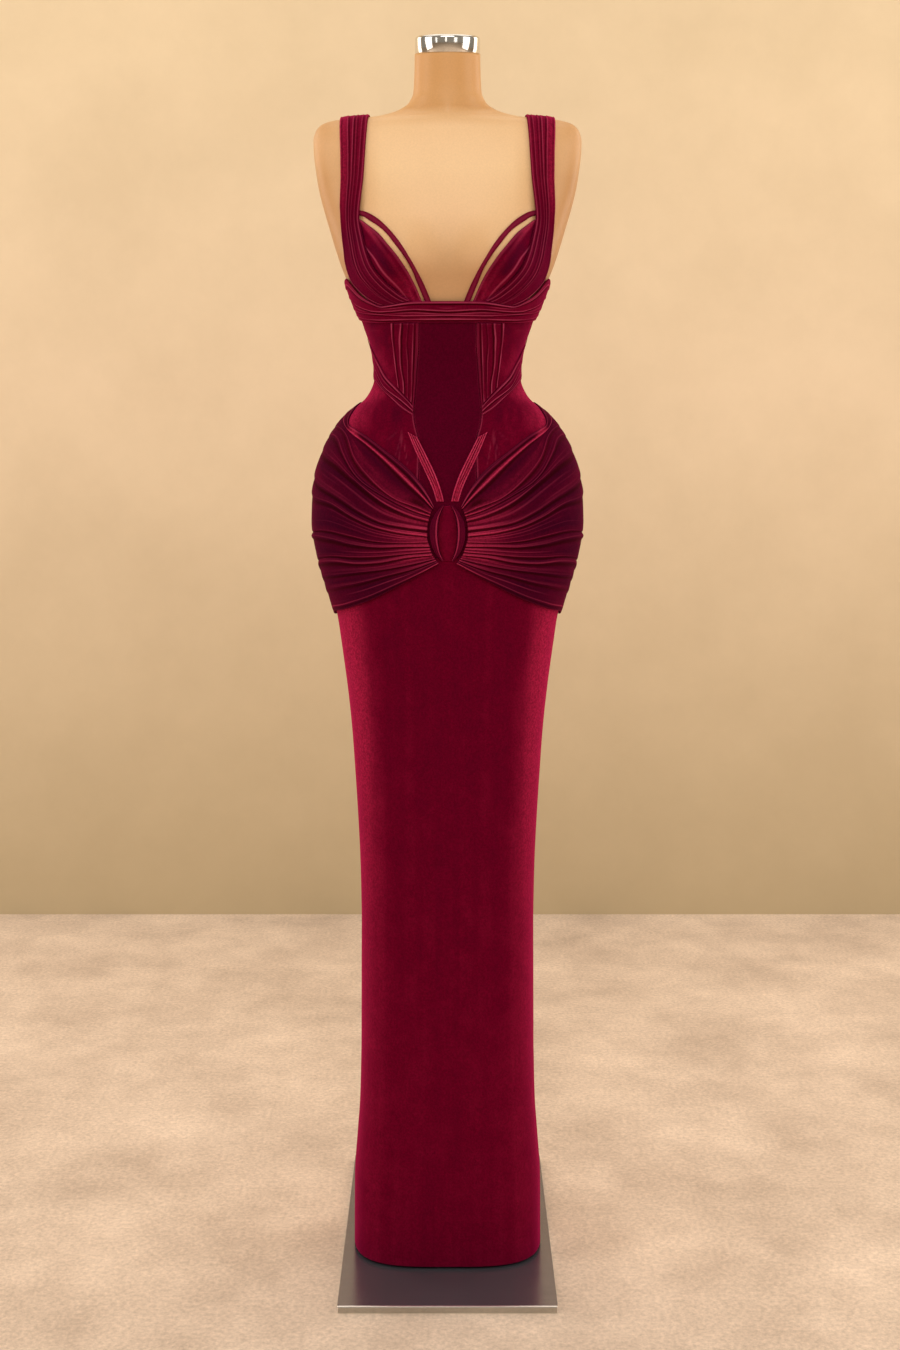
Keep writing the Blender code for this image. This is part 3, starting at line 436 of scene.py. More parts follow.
def level(p):
    """1 on the body surface, less inside it and more outside."""
    x, y, z = p[..., 0], p[..., 1], p[..., 2]
    half, front, back, power = body_sizes(z)
    depth = np.where(y < 0, front + bust(x, z), back)
    return ((abs(x) / half) ** power + (abs(y) / depth) ** power) ** (1 / power)


def gradient(p):
    """Slope of level at each point, per millimetre."""
    steps = SLOPE_REACH * np.eye(3)
    return np.stack([(level(p + step) - level(p - step)) / (2 * SLOPE_REACH) for step in steps], -1)


def snapped(p):
    """Each point moved along the slope of level until it lies on the body surface."""
    p = np.array(p, float)
    for _ in range(SNAP_STEPS):
        slope = gradient(p)
        p -= ((level(p) - 1) / (slope**2).sum(-1))[..., None] * slope
    return p


def lifted(p, lift):
    """Points of the body surface moved out along its normal."""
    slope = gradient(p)
    return p + np.asarray(lift)[..., None] * slope / np.linalg.norm(slope, axis=-1, keepdims=True)


def crossing(start, end):
    """Where each straight run from outside, start, to inside, end, meets the body surface."""
    outside, inside = np.array(start, float), np.array(end, float)
    for _ in range(HALVINGS):
        middle = (outside + inside) / 2
        within = (level(middle) < 1)[..., None]
        inside = np.where(within, middle, inside)
        outside = np.where(within, outside, middle)
    return (outside + inside) / 2


def round_body(angle, height):
    """Points of the body surface at an angle in degrees from the front, towards +X, and a height."""
    turn, height = np.broadcast_arrays(np.radians(angle), np.asarray(height, float))
    axis = np.stack([0 * turn, 0 * turn, height], -1)
    out = np.stack([np.sin(turn), -np.cos(turn), 0 * turn], -1)
    return crossing(axis + OUTSIDE * out, axis)


def seen(outline):
    """Points of the body surface that the eye sees at each width and height of the upright plane."""
    eye = np.array([0, -EYE_DISTANCE, EYE_HEIGHT])
    found = []
    for width, height in outline:
        run = np.array([width, 0, height]) - eye
        shares = np.linspace(0.9, 1, SIGHT_SHARES)
        points = eye + shares[:, None] * run
        inside = np.flatnonzero(level(points) < 1)
        if len(inside) and inside[0] > 0:
            found.append(crossing(points[inside[0] - 1], points[inside[0]]))
        else:
            found.append(snapped(points[np.argmin(level(points))]))
    return np.array(found)


def curve(points, at):
    """Smooth curve through points, read at shares of its length, and laid on the body surface."""
    steps = np.linalg.norm(np.diff(points, axis=0), axis=1)
    length = np.concatenate([[0], np.cumsum(steps)])
    return snapped(smooth(length / length[-1], points, at))


def front_curves(outlines, along):
    """Curves on the front through the outlines that the eye sees, at shares of their lengths."""
    return [curve(seen(outline), along) for outline in outlines]


def patch(lines, places, across):
    """Grid of points on the body surface. lines holds one row of points for each place across."""
    return snapped(np.moveaxis(smooth(places, np.array(lines), across), 0, 1))


def noise(u, v, seed):
    """Smooth noise from -1 to 1, with one swell for each unit of u and v."""
    table = np.random.default_rng(seed).uniform(-1, 1, (NOISE_TABLE, NOISE_TABLE))
    u, v = np.broadcast_arrays(np.asarray(u, float), np.asarray(v, float))
    i = np.floor(u).astype(int)
    j = np.floor(v).astype(int)
    a = u - i
    b = v - j
    a = a * a * (3 - 2 * a)
    b = b * b * (3 - 2 * b)
    i0, i1 = i % NOISE_TABLE, (i + 1) % NOISE_TABLE
    j0, j1 = j % NOISE_TABLE, (j + 1) % NOISE_TABLE
    near = table[i0, j0] * (1 - b) + table[i0, j1] * b
    far = table[i1, j0] * (1 - b) + table[i1, j1] * b
    return near * (1 - a) + far * a


def spaced(count, length):
    """Shares of a length, evenly apart, with more of them close to both ends."""
    close = np.array(EDGE_STEPS) / length
    return np.unique(np.concatenate([np.linspace(0, 1, count), close, 1 - close]))


def shares(name):
    """Shares of a piece's length and of its width with grid points."""
    return [spaced(*run) for run in GRIDS[name]]


def edge_distances(grid):
    """Distance of each point of a grid from its first and last row and its first and last column."""
    down = np.cumsum(np.linalg.norm(np.diff(grid, axis=0), axis=-1), axis=0)
    side = np.cumsum(np.linalg.norm(np.diff(grid, axis=1), axis=-1), axis=1)
    down = np.vstack([0 * down[:1], down])
    side = np.hstack([0 * side[:, :1], side])
    return down, down[-1:] - down, side, side[:, -1:] - side


def standing_out(relief, reach):
    """How far each point stands above or lies below its neighbours across, from -1 to 1."""
    weights = np.hanning(2 * reach + 3)[1:-1]
    weights /= weights.sum()
    wide = np.pad(relief, ((0, 0), (reach, reach)), mode="edge")
    mean = sum(w * wide[:, k:k + relief.shape[1]] for k, w in enumerate(weights))
    return np.clip((relief - mean) / CREST_SCALE, -1, 1)


def hump(off, width=1.0):
    """1 where off is 0, fading out over a width."""
    return np.exp(-((off / width) ** 2))


def step(value, low, high):
    """Smooth rise from 0 at low to 1 at high."""
    t = np.clip((value - low) / (high - low), 0, 1)
    return t * t * (3 - 2 * t)


def breadth(base):
    """Length of each row of a grid across, as a column."""
    return np.linalg.norm(np.diff(base, axis=1), axis=-1).sum(1)[:, None]


def pleated(base, folds, across, along, stations, seed, between, sway=0.14, tips=(0.6, 0.6),
            floors=(FOLD_VALLEY, FOLD_VALLEY), shine=None, fading=(1, 0.6, 0.6), line=0.95):
    """Height of pleats, and painted highlight lines on their crests with a painted shadow line past each
    one.
    A crest is rounded with a steep drop past it, and between two folds a few finer pleats, each with a
    painted highlight line, come and go: between says how many, for all folds or for each one. tips and
    floors, the sharpness of the crests and the share of a crest that its foot stands at, are given for the
    start and the middle of the piece. shine holds each fold's painted highlight strength there, and line is
    half a highlight line's width."""
    across = np.asarray(across)[None, :]
    along = np.asarray(along)[:, None]
    wide = breadth(base)
    relief = np.zeros(np.broadcast_shapes(across.shape, along.shape))
    lines = np.zeros(relief.shape)
    sharp = np.interp(along, (0, 0.5), tips)
    floor = np.interp(along, (0, 0.4), floors)
    fade = np.interp(along, (0, 0.35, 0.5), fading)
    start = np.zeros_like(along)
    before = floor * np.interp(along, stations, folds[0][1:])
    last = 0.0
    between = (between,) * len(folds) if isinstance(between, int) else between
    for k, (place, *crests) in enumerate(folds):
        gap = max(place - last, 0.02)
        last = place
        crest = np.interp(along, stations, crests) * (1 + 0.15 * noise(along * 6, 3.3 * k, seed))
        crest_at = place + sway * gap * noise(along * 3.5, 5.1 * k, seed + 1) * (0 < k < len(folds) - 1)
        ground = floor * crest
        t = np.clip((across - start) / np.maximum(crest_at - start, 1e-4), 0, 1)
        tip = (1 - np.cos(math.pi * np.clip((t - 0.66) / 0.34, 0, 1))) / 2
        rise = (1 - sharp) * np.sin(math.pi / 2 * t) + sharp * tip
        past = np.clip((across - crest_at) / FOLD_FOOT, 0, 1)
        drop = (1 + np.cos(math.pi * past)) / 2
        up = before + (ground - before) * t + (crest - ground) * rise
        down = ground + (crest - ground) * drop
        height = np.where(across <= crest_at, up, down)
        relief = np.where(across >= start, height, relief)
        strength = np.interp(along, (0, 0.42), shine[k]) if shine else 0.8
        strength = strength * np.clip(0.85 + 0.5 * noise(along * 7, 6.3 * k, seed + 5), 0.2, 1.2)
        # Painted highlight along the crest, and a painted shadow line just past it
        lines += strength * hump((across - crest_at) * wide, line)
        lines -= 0.7 * strength * hump((across - crest_at) * wide - PAINTED_SHADOW_PAST, PAINTED_SHADOW_LINE)
        for m in range(between[k]):
            share = (m + 0.75 + 0.3 * noise(along * 3, 7.7 * k + 2.3 * m, seed + 2)) / (between[k] + 0.6)
            middle = start + (crest_at - start) * share
            strength = fade * np.clip(0.5 + noise(along * 5 + 3 * m, 4.9 * k + 1.7 * m, seed + 3), 0, 1)
            strength = strength * (across <= crest_at)
            width = 0.3 * gap / (between[k] + 1)
            relief += FINE_HEIGHT * (crest - ground) * strength * hump(across - middle, width)
            # Painted highlight along the finer pleat
            lines += 0.8 * strength * hump((across - middle) * wide, FINE_HIGHLIGHT_LINE)
        start = crest_at + FOLD_FOOT
        before = ground
    return relief, lines


def plane_places(points):
    """Width and height of each point as the camera sees it on the upright plane through the axis."""
    grow = EYE_DISTANCE / (EYE_DISTANCE + points[..., 1])
    return points[..., 0] * grow, EYE_HEIGHT + (points[..., 2] - EYE_HEIGHT) * grow


def creases(base, lines, face=-1):
    """Height of soft ridges on the front, face -1, or the back, 1, each given by its two ends, bow, width
    and height."""
    x, z = plane_places(base)
    relief = np.zeros(base.shape[:2])
    for (x0, z0), (x1, z1), bow, width, height in lines:
        length = math.hypot(x1 - x0, z1 - z0)
        dx, dz = (x1 - x0) / length, (z1 - z0) / length
        share = ((x - x0) * dx + (z - z0) * dz) / length
        off = (x - x0) * dz - (z - z0) * dx - bow * 4 * share * (1 - share)
        inside = np.sin(math.pi * np.clip(share, 0, 1)) ** 0.7 * (base[..., 1] * face > 0)
        relief += height * hump(off, width) * inside
    return relief


def add_mesh(name, points, faces, finish, **values):
    """A smooth mesh object from points in millimetres on the body's axis, and quads."""
    used, order = np.unique(faces, return_inverse=True)
    points = points[used]
    faces = order.reshape(faces.shape)
    mesh = bpy.data.meshes.new(name)
    mesh.vertices.add(len(points))
    place = (points + np.array([0, BODY_Y, 0])) * MM
    mesh.vertices.foreach_set("co", place.astype(np.float32).ravel())
    mesh.loops.add(faces.size)
    mesh.loops.foreach_set("vertex_index", faces.astype(np.int32).ravel())
    mesh.polygons.add(len(faces))
    mesh.polygons.foreach_set("loop_start", np.arange(0, faces.size, 4, dtype=np.int32))
    mesh.polygons.foreach_set("loop_total", np.full(len(faces), 4, np.int32))
    for title, numbers in values.items():
        layer = mesh.attributes.new(title, "FLOAT", "POINT")
        layer.data.foreach_set("value", numbers[used].astype(np.float32))
    mesh.update(calc_edges=True)
    mesh.validate()
    mesh.shade_smooth()
    mesh.materials.append(finish)
    made = bpy.data.objects.new(name, mesh)
    bpy.context.scene.collection.objects.link(made)
    return made


def grid_faces(number):
    """Quads of a grid of point numbers."""
    return np.stack([number[:-1, :-1], number[:-1, 1:], number[1:, 1:], number[1:, :-1]], -1).reshape(-1, 4)


def claimed(piece, node):
    """Puts a piece in place of its node, on the one body."""
    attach(piece, "root")
    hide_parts(node)


def declared(piece, node):
    """Puts a piece of cloth in place of its node."""
    claimed(piece, node)


def cloth(node, base, lift, thickness, relief, finish, reach=5, lines=0.0,
          tone_and_sheen=NAP_PLAIN, edge_light=0.3, hollow_shade=0.5, edge_roll=EDGE_ROLL):
    """A closed thin shell in place of a node, with a mirror image where the node is a left one: a plain
    inner side and a detailed outer side that share their edge points. Its ridge values paint highlights and
    shade on the velvet, and its nap values carry the pile's tone with painted sheen."""
    slope = gradient(base)
    normal = slope / np.linalg.norm(slope, axis=-1, keepdims=True)
    distance = np.minimum.reduce(edge_distances(base))
    roll = np.sqrt(1 - (1 - np.clip(distance / edge_roll, 0, 1)) ** 2)
    inner = base + (lift * np.ones(base.shape[:2]))[..., None] * normal
    outer = inner + ((thickness + relief) * roll)[..., None] * normal
    stands = standing_out(relief, reach)
    # Painted light and shade: the given lines, painted shade in hollows, a faint painted highlight on crests
    # and a painted highlight along the edges
    painted_light_and_shade = lines + hollow_shade * np.minimum(stands, 0) + 0.15 * np.maximum(stands, 0)
    painted_light_and_shade = np.clip(painted_light_and_shade + edge_light * hump(distance - 1.1, 0.7), -1, 1.1)
    number = np.arange(distance.size).reshape(distance.shape)
    hidden = number + distance.size
    hidden[[0, -1]] = number[[0, -1]]
    hidden[:, [0, -1]] = number[:, [0, -1]]
    faces = np.vstack([grid_faces(number), grid_faces(hidden)[:, ::-1]])
    i, j = distance.shape[0] // 2, distance.shape[1] // 2
    facing = np.cross(base[i, j + 1] - base[i, j], base[i + 1, j] - base[i, j])
    if np.dot(facing, normal[i, j]) < 0:
        faces = faces[:, ::-1]
    points = np.vstack([outer.reshape(-1, 3), inner.reshape(-1, 3)])
    tone_and_sheen = (tone_and_sheen * np.ones(base.shape[:2])).ravel()
    values = {"painted_light_and_shade": np.concatenate([painted_light_and_shade.ravel(), 0 * painted_light_and_shade.ravel()]), "tone_and_sheen": np.concatenate([tone_and_sheen, tone_and_sheen])}
    piece = add_mesh(node + "_cloth", points, faces, finish, **values)
    declared(piece, node)
    if node.endswith("left"):
        other = node.replace("left", "right")
        twin = add_mesh(other + "_cloth", points * MIRROR, faces[:, ::-1], finish, **values)
        declared(twin, other)


def seam_angle(heights, gap):
    """Degrees that stand for a gap along the side of the body, at each height."""
    return np.degrees(gap / body_sizes(heights)[0])


def seam_point(height):
    """The point of the body surface just in front of the side seam, as a row of one."""
    return round_body(90 - seam_angle([height], SEAM / 2), [height])


def edge_angles(outline, rows):
    """Angle round the body of a front curve, at each height of rows."""
    points = seen(outline)
    at = np.degrees(np.arctan2(points[:, 0], -points[:, 1]))
    return smooth(points[:, 2], at, rows, monotone=True)


def painted_side_sheen(base):
    """Tone of the pile of a plain panel, with painted sheen where the cloth turns to the side."""
    slope = gradient(base)
    turned_away = np.abs(slope[..., 0]) / np.linalg.norm(slope, axis=-1)
    fade = np.interp(base[..., 2], *zip(*SIDE_LIGHT))
    low = np.interp(base[..., 2], *zip(*LOW_LIGHT))
    return NAP_PLAIN + NAP_SIDE_SHEEN * fade * step(turned_away, 0.42, 0.82) + low * turned_away


def panel(first, last, heights, share):
    """Grid of points of a plain panel between two angles at each height."""
    return round_body(first[:, None] + (last - first)[:, None] * share, heights[:, None])


def look(name, **values):
    """A new material, with values set on its shader's sockets: the material, its node tree, its shader and
    the place that its textures read."""
    made = bpy.data.materials.new(name)
    made.use_nodes = True
    tree = made.node_tree
    shader = tree.nodes["Principled BSDF"]
    for socket, value in values.items():
        shader.inputs[socket.replace("_", " ")].default_value = value
    return made, tree, shader, node(tree, "TexCoord").outputs["Object"]


def wired(tree, shader, **sources):
    """Links outputs to the shader's sockets."""
    for socket, source in sources.items():
        tree.links.new(source, shader.inputs[socket.replace("_", " ")])


def node(tree, kind, inputs=None, **settings):
    """A new shader node. inputs maps a socket's name or number to a value or another node's output."""
    made = tree.nodes.new("ShaderNode" + kind)
    for name, value in settings.items():
        setattr(made, name, value)
    for name, value in (inputs or {}).items():
        socket = made.inputs[name]
        if isinstance(value, bpy.types.NodeSocket):
            tree.links.new(value, socket)
        else:
            socket.default_value = value
    return made


def texture(tree, place, scale, detail, roughness=0.5):
    """Noise texture, from 0 to 1 and mostly near 0.5."""
    inputs = {"Vector": place, "Scale": scale, "Detail": detail, "Roughness": roughness}
    return node(tree, "TexNoise", inputs).outputs["Fac"]


def ranged(tree, value, low=0.0, high=1.0, to_low=0.0, to_high=1.0):
    """A value taken from one range to another and held inside it."""
    inputs = {"Value": value, "From Min": low, "From Max": high, "To Min": to_low, "To Max": to_high}
    return node(tree, "MapRange", inputs).outputs[0]


def worked(tree, operation, *values):
    """Result of an operation on values."""
    return node(tree, "Math", dict(enumerate(values)), operation=operation).outputs[0]


def ramp(tree, source, *stops):
    """A colour ramp through stops of place and colour. A single number stands for a grey."""
    made = node(tree, "ValToRGB", {"Fac": source})
    elements = made.color_ramp.elements
    while len(elements) < len(stops):
        elements.new(0.5)
    for element, (place, colour) in zip(elements, stops):
        element.position = place
        element.color = (*np.broadcast_to(colour, 3), 1)
    return made.outputs["Color"]


def mixed(tree, share, first, second, blend="MIX"):
    """First colour, with the second laid on it by a share."""
    made = node(tree, "Mix", {0: share, 6: first, 7: second}, data_type="RGBA", blend_type=blend)
    return made.outputs[2]


def bumped(tree, height, strength, distance, **under):
    """Bumps of a height texture, over the ones under them."""
    inputs = {"Height": height, "Strength": strength, "Distance": distance, **under}
    return node(tree, "Bump", inputs).outputs[0]


def velvet(name, tones, crest, sheen=0.5):
    """Short-pile velvet. Its nap attribute, the pile's tone with painted sheen in it, runs through the
    tones, with soft clouds and fine specks of pile. Its ridge attribute adds painted highlights on crests
    and edges and painted shade in hollows."""
    made, tree, shader, place = look(name, Roughness=0.85, Sheen_Weight=sheen, Sheen_Roughness=0.42,
                                     Sheen_Tint=(1.0, 0.025, 0.24, 1), Specular_IOR_Level=0.02)
    tone_and_sheen = node(tree, "Attribute", attribute_name="tone_and_sheen").outputs["Fac"]
    painted_light_and_shade = node(tree, "Attribute", attribute_name="painted_light_and_shade").outputs["Fac"]
    cloudy = ranged(tree, texture(tree, place, 24.0, 5.0, 0.7), 0.3, 0.7, -0.07, 0.07)
    colour = ramp(tree, worked(tree, "ADD", tone_and_sheen, cloudy), *tones)
    specks = ramp(tree, texture(tree, place, 340.0, 3.0, 0.75), (0.38, 0.62), (0.64, 1.5))
    colour = mixed(tree, ranged(tree, tone_and_sheen, 0.3, 1.0, 0.35, 0.95), colour, specks, "MULTIPLY")
    # Painted highlight: the crest colour is added where ridge is high
    colour = mixed(tree, ranged(tree, painted_light_and_shade, 0.06, 0.95), colour, (*crest, 1), "ADD")
    # Painted shade: deep hollows turn towards the hollow tone
    colour = mixed(tree, ranged(tree, painted_light_and_shade, -0.08, -0.6, 0.0, 0.75), colour, HOLLOW_SHADE_TONE)
    pile = bumped(tree, texture(tree, place, 1500.0, 1.0), 0.35, 0.0005)
    bump = bumped(tree, texture(tree, place, 75.0, 4.0, 0.55), 0.22, 0.0022, Normal=pile)
    wired(tree, shader, Base_Color=colour, Normal=bump)
    return made


def satin_skin():
    """The form's skin-toned satin lacquer with faint clouds and dust. Painted light makes it paler on the
    chest, and painted shade makes it darker at the neck, at the sides and on the lower part of the arms'
    stumps."""
    made, tree, shader, place = look("form_satin", Specular_IOR_Level=0.35, Coat_Weight=0.12,
                                     Coat_Roughness=0.3)
    clouds = texture(tree, place, 5.0, 3.0)
    dust = texture(tree, place, 420.0, 3.0)
    colour = ramp(tree, clouds, (0.3, (0.80, 0.50, 0.25)), (0.7, (0.86, 0.55, 0.285)))
    colour = mixed(tree, 0.7, colour, ramp(tree, dust, (0.3, 0.95), (0.7, 1.04)), "MULTIPLY")
    split = node(tree, "SeparateXYZ", {0: place}).outputs
    # Painted light and shade by height
    painted_light_by_height = ramp(tree, ranged(tree, split["Z"], 1.35, 1.65), *SKIN_PAINTED_LIGHT)
    colour = mixed(tree, 1.0, colour, painted_light_by_height, "MULTIPLY")
    # Painted shade towards the sides
    out = ranged(tree, worked(tree, "ABSOLUTE", split["X"]), 0.09, 0.17)
    colour = mixed(tree, 1.0, colour, ramp(tree, out, (0.0, 1.0), (1.0, (0.78, 0.66, 0.54))), "MULTIPLY")
    # Painted shade on the lower part of the arms' stumps
    painted_arm_shade = worked(tree, "MULTIPLY", out, ranged(tree, split["Z"], 1.535, 1.49))
    colour = mixed(tree, painted_arm_shade, colour, (0.84, 0.77, 0.65, 1), "MULTIPLY")
    wired(tree, shader, Base_Color=colour, Roughness=ranged(tree, clouds, to_low=0.36, to_high=0.5),
          Normal=bumped(tree, dust, 0.05, 0.0006))
    return made


def chrome():
    """Polished metal of the neck cap, with faint wipe marks."""
    made, tree, shader, place = look("cap_chrome", Metallic=1.0)
    marks = texture(tree, place, 60.0, 5.0)
    wired(tree, shader, Base_Color=ramp(tree, marks, (0.3, (0.7, 0.68, 0.64)), (0.7, (0.84, 0.82, 0.78))),
          Roughness=ranged(tree, marks, to_low=0.05, to_high=0.16))
    return made


def brushed_steel():
    """Brushed metal with fine lines across and soft smears. The plate's front face gets a paler tone, and a
    painted highlight makes a bright line along the top of its front edge."""
    made, tree, shader, place = look("stand_steel", Metallic=0.8)
    lines = node(tree, "Mapping", {"Vector": place, "Scale": (12.0, 900.0, 900.0)}).outputs[0]
    brushed = texture(tree, lines, 1.0, 4.0)
    smears = texture(tree, place, 14.0, 4.0)
    tone = ramp(tree, brushed, (0.3, (0.225, 0.225, 0.275)), (0.7, (0.28, 0.275, 0.32)))
    front = node(tree, "SeparateXYZ", {0: place}).outputs["Y"]
    # Paler front face and a painted highlight along the top of the front edge
    past = ranged(tree, front, PLATE_EDGE_NEAR, PLATE_EDGE_FAR)
    painted_edge_highlight = ramp(tree, past, (0.0, (0.44, 0.42, 0.37)), (0.12, (1.0, 0.97, 0.92)), (0.8, (1.0, 0.97, 0.92)))
    tone = mixed(tree, worked(tree, "GREATER_THAN", past, 0.95), painted_edge_highlight, tone)
    wired(tree, shader, Base_Color=tone, Roughness=ranged(tree, smears, to_low=0.15, to_high=0.27),
          Normal=bumped(tree, brushed, 0.08, 0.0003))
    return made


# Painted shade for the deepest hollows of the velvet, and painted light and shade on the skin by height
HOLLOW_SHADE_TONE = (0.02, 0.0002, 0.001, 1)
SKIN_PAINTED_LIGHT = ((0.0, (0.76, 0.67, 0.62)), (0.14, (0.95, 0.92, 0.90)), (0.28, (1.08, 1.11, 1.18)),
               (0.5, (1.15, 1.24, 1.33)), (0.69, (1.12, 1.18, 1.26)), (0.80, (0.86, 0.74, 0.57)),
               (0.92, (0.86, 0.72, 0.53)))
# The drape's and the centre panel's velvets are copies of the one velvet with darker tones: painted shade.
# The last colour of each is the painted highlight added on crests.
VELVET = velvet("velvet", ((0.0, (0.06, 0.0003, 0.012)), (0.35, (0.122, 0.0002, 0.0142)),
                           (1.0, (0.30, 0.009, 0.042))), (0.26, 0.04, 0.08))
VELVET_DRAPE = velvet("velvet_drape", ((0.0, (0.040, 0.0003, 0.0110)), (0.35, (0.080, 0.0008, 0.0140)),
                                       (1.0, (0.26, 0.009, 0.038))), (0.28, 0.025, 0.06), sheen=0.15)
VELVET_CENTRE = velvet("velvet_centre", ((0.3, (0.078, 0.0001, 0.0118)), (0.4, (0.083, 0.0001, 0.0124))),
                       (0.1, 0.01, 0.02), sheen=0.2)
SATIN = satin_skin()
CHROME = chrome()
STEEL = brushed_steel()


def make_skirt():
    """The two panels of the skirt, nearly plain, with faint pulls in the cloth."""
    rise, share = shares("skirt")
    heights = HEM + (WAIST_SEAM - SEAM - HEM) * rise
    gap = seam_angle(heights, SEAM / 2)
    for name, middle in (("skirt_front", 0), ("skirt_back", 180)):
        base = panel(middle - 90 + gap, middle + 90 - gap, heights, share)
        turn = np.abs(share - 0.5)[None, :] * 180
        z = heights[:, None]
        relief = 0.35 + 0.35 * noise(turn / 22, z / 210, 11) + 0.14 * noise(turn / 5, z / 330, 12)
        relief = relief + 0.1 * noise(turn / 3, z / 45, 13)
        streaks = 0.035 * noise(turn / 2.6, z / 420, 14) + 0.03 * noise(turn / 7, z / 260, 15) - 0.015
        # Painted sheen where the skirt turns to the side; the streaks are the pile's own tone
        cloth(name, base, 0, SKIRT_PLAIN_WALL, relief, VELVET, tone_and_sheen=painted_side_sheen(base) + streaks,
              edge_light=0, hollow_shade=0)


def make_bodice():
    """The plain panels of the bodice, with a fine welt beside the centre panel."""
    rise, share = shares("bodice_centre")
    heights = WAIST_SEAM + (BODICE_TOP - WAIST_SEAM) * rise
    centre = edge_angles(CENTRE_EDGE, heights)
    gap = seam_angle(heights, SEAM / 2)
    front_gap = gap * 0.3
    base = panel(-(centre - front_gap), centre - front_gap, heights, share)
    turn = np.abs(np.linspace(-1, 1, base.shape[1]))[None, :]
    relief = 0.15 + 0.12 * noise(turn * 3, heights[:, None] / 60, 21)
    # Painted highlight along the centre panel's edges
    cloth("bodice_centre", base, 0, WALL, relief, VELVET_CENTRE,
          edge_light=0.4, hollow_shade=0, edge_roll=0.7)

    _, share = shares("bodice_side")
    base = panel(centre + front_gap, 90 - gap, heights, share)
    _, _, side, _ = edge_distances(base)
    welt = hump(side - 1.7, 0.9)
    pulls = creases(base, SIDE_CREASES)
    relief = 0.1 + 0.4 * welt + pulls + 0.12 * noise(side / 14, heights[:, None] / 30, 22)
    # Painted sheen where the panel turns to the side and at the hip corner, with the pile's own random tone;
    # painted highlights on the welt and creases and painted shade in their hollows
    light = painted_side_sheen(base) - 0.07 + 0.12 * noise(side / 7, heights[:, None] / 11, 24)
    light = light + 0.14 * step(side, 30, 70) * hump(heights[:, None] - 1150, 28)
    cloth("bodice_side_left", base, 0, PLAIN_WALL, relief, VELVET,
          lines=0.45 * welt + 0.8 * pulls, tone_and_sheen=light, edge_light=0, hollow_shade=0.7, edge_roll=0.8)

    rise, share = shares("bodice_back")
    edge = smooth(*zip(*BACK_EDGE), 90 + 90 * share, monotone=True)
    heights = WAIST_SEAM + (edge - WAIST_SEAM)[None, :] * rise[:, None]
    gap = seam_angle(heights[:, 0], SEAM / 2)
    base = round_body((90 + gap)[:, None] + (90 - 2 * gap)[:, None] * share, heights)
    _, _, side, back = edge_distances(base)
    pulls = creases(base, BACK_CREASES, 1)
    relief = 0.12 + 0.2 * noise(side / 24, heights / 40, 23) + 0.25 * hump(back - 2) + pulls
    # Painted highlights on the creases, painted sheen at the side, a painted highlight along the edges and
    # painted shade in hollows
    cloth("bodice_back_left", base, 0, PLAIN_WALL, relief, VELVET, lines=0.1 * pulls,
          tone_and_sheen=painted_side_sheen(base), edge_light=0.2, hollow_shade=0.6, edge_roll=0.8)


def tucked(outline):
    """A front curve carried on in its own direction, so that its end lies under the band."""
    (x0, z0), (x1, z1) = outline[-2:]
    share = TUCK / (z0 - z1)
    return (*outline, (x1 + (x1 - x0) * share, z1 - TUCK))


def make_cups():
    """The cups with a soft fold under a painted highlight, two fine pulls, and the neckline's rolled strips.
    """
    along, across = shares("cup")
    lines = front_curves((tucked(CUP_EDGE), tucked(CUP_MIDDLE), CUP_HIDDEN_EDGE), along)
    base = patch(lines, (0, 0.5, 1), across)
    across = across[None, :]
    down = along[:, None]
    strength = np.sin(math.pi * down)
    bow = down * (1 - down)
    fold = hump(across - 0.08 - 0.2 * down, 0.08) * (1 - 0.6 * step(down, 0.2, 0.55))
    shown = 1 - step(across, 0.6, 0.8)
    welt = hump(across - 0.045, 0.03)
    first = hump(across - 0.42 - 0.3 * bow, 0.02) * np.sqrt(strength)
    second = hump(across - 0.72 - 0.2 * bow, 0.02) * np.sqrt(strength)
    relief = 0.6 * fold + 0.4 * welt + 0.5 * first + 0.6 * second + 0.15 * noise(across * 5, down * 8, 31)
    relief = np.clip(relief * shown, 0, None)
    # Painted highlight on the fold and painted sheen on the lower cup; the noise is the pile's own tone. The
    # lines paint highlights on the fold, welt and pulls, and hollows get painted shade.
    light = 0.2 + 0.45 * fold + 0.36 * step(down, 0.6, 0.95) + 0.2 * noise(across * 8, down * 11, 32)
    cloth("cup_left", base, 0, PLAIN_WALL, relief, VELVET,
          lines=0.25 * fold + 0.3 * welt + 0.9 * (first + second), tone_and_sheen=light, hollow_shade=0.8)

    along, across = shares("neckline_strip")
    lines = front_curves((tucked(NECKLINE_EDGE), tucked(STRIP_LOWER_EDGE)), along)
    base = patch(lines, (0, 1), across)
    round_over = 0.7 * np.sin(math.pi * across)[None, :] * np.ones((len(along), 1))
    # Painted highlight on the strip's rounded top
    cloth("neckline_strip_left", base, 0, PLAIN_WALL, round_over, VELVET,
          lines=0.4 * round_over, edge_light=0, hollow_shade=0)


def strap_edge(front, top_width, back):
    """One edge of a strap: up the front, over the shoulder and down the back."""
    over = []
    for turn in SHOULDER_TURN:
        centre = np.array([top_width, 4, SHOULDER_CENTRE])
        out = np.array([0, -math.cos(math.radians(turn)), math.sin(math.radians(turn))])
        over.append(crossing(centre + OUTSIDE * out, centre))
    behind = [crossing(np.array([x, OUTSIDE, z]), np.array([x, 0, z])) for x, z in back]
    return np.concatenate([seen(front), over, behind])


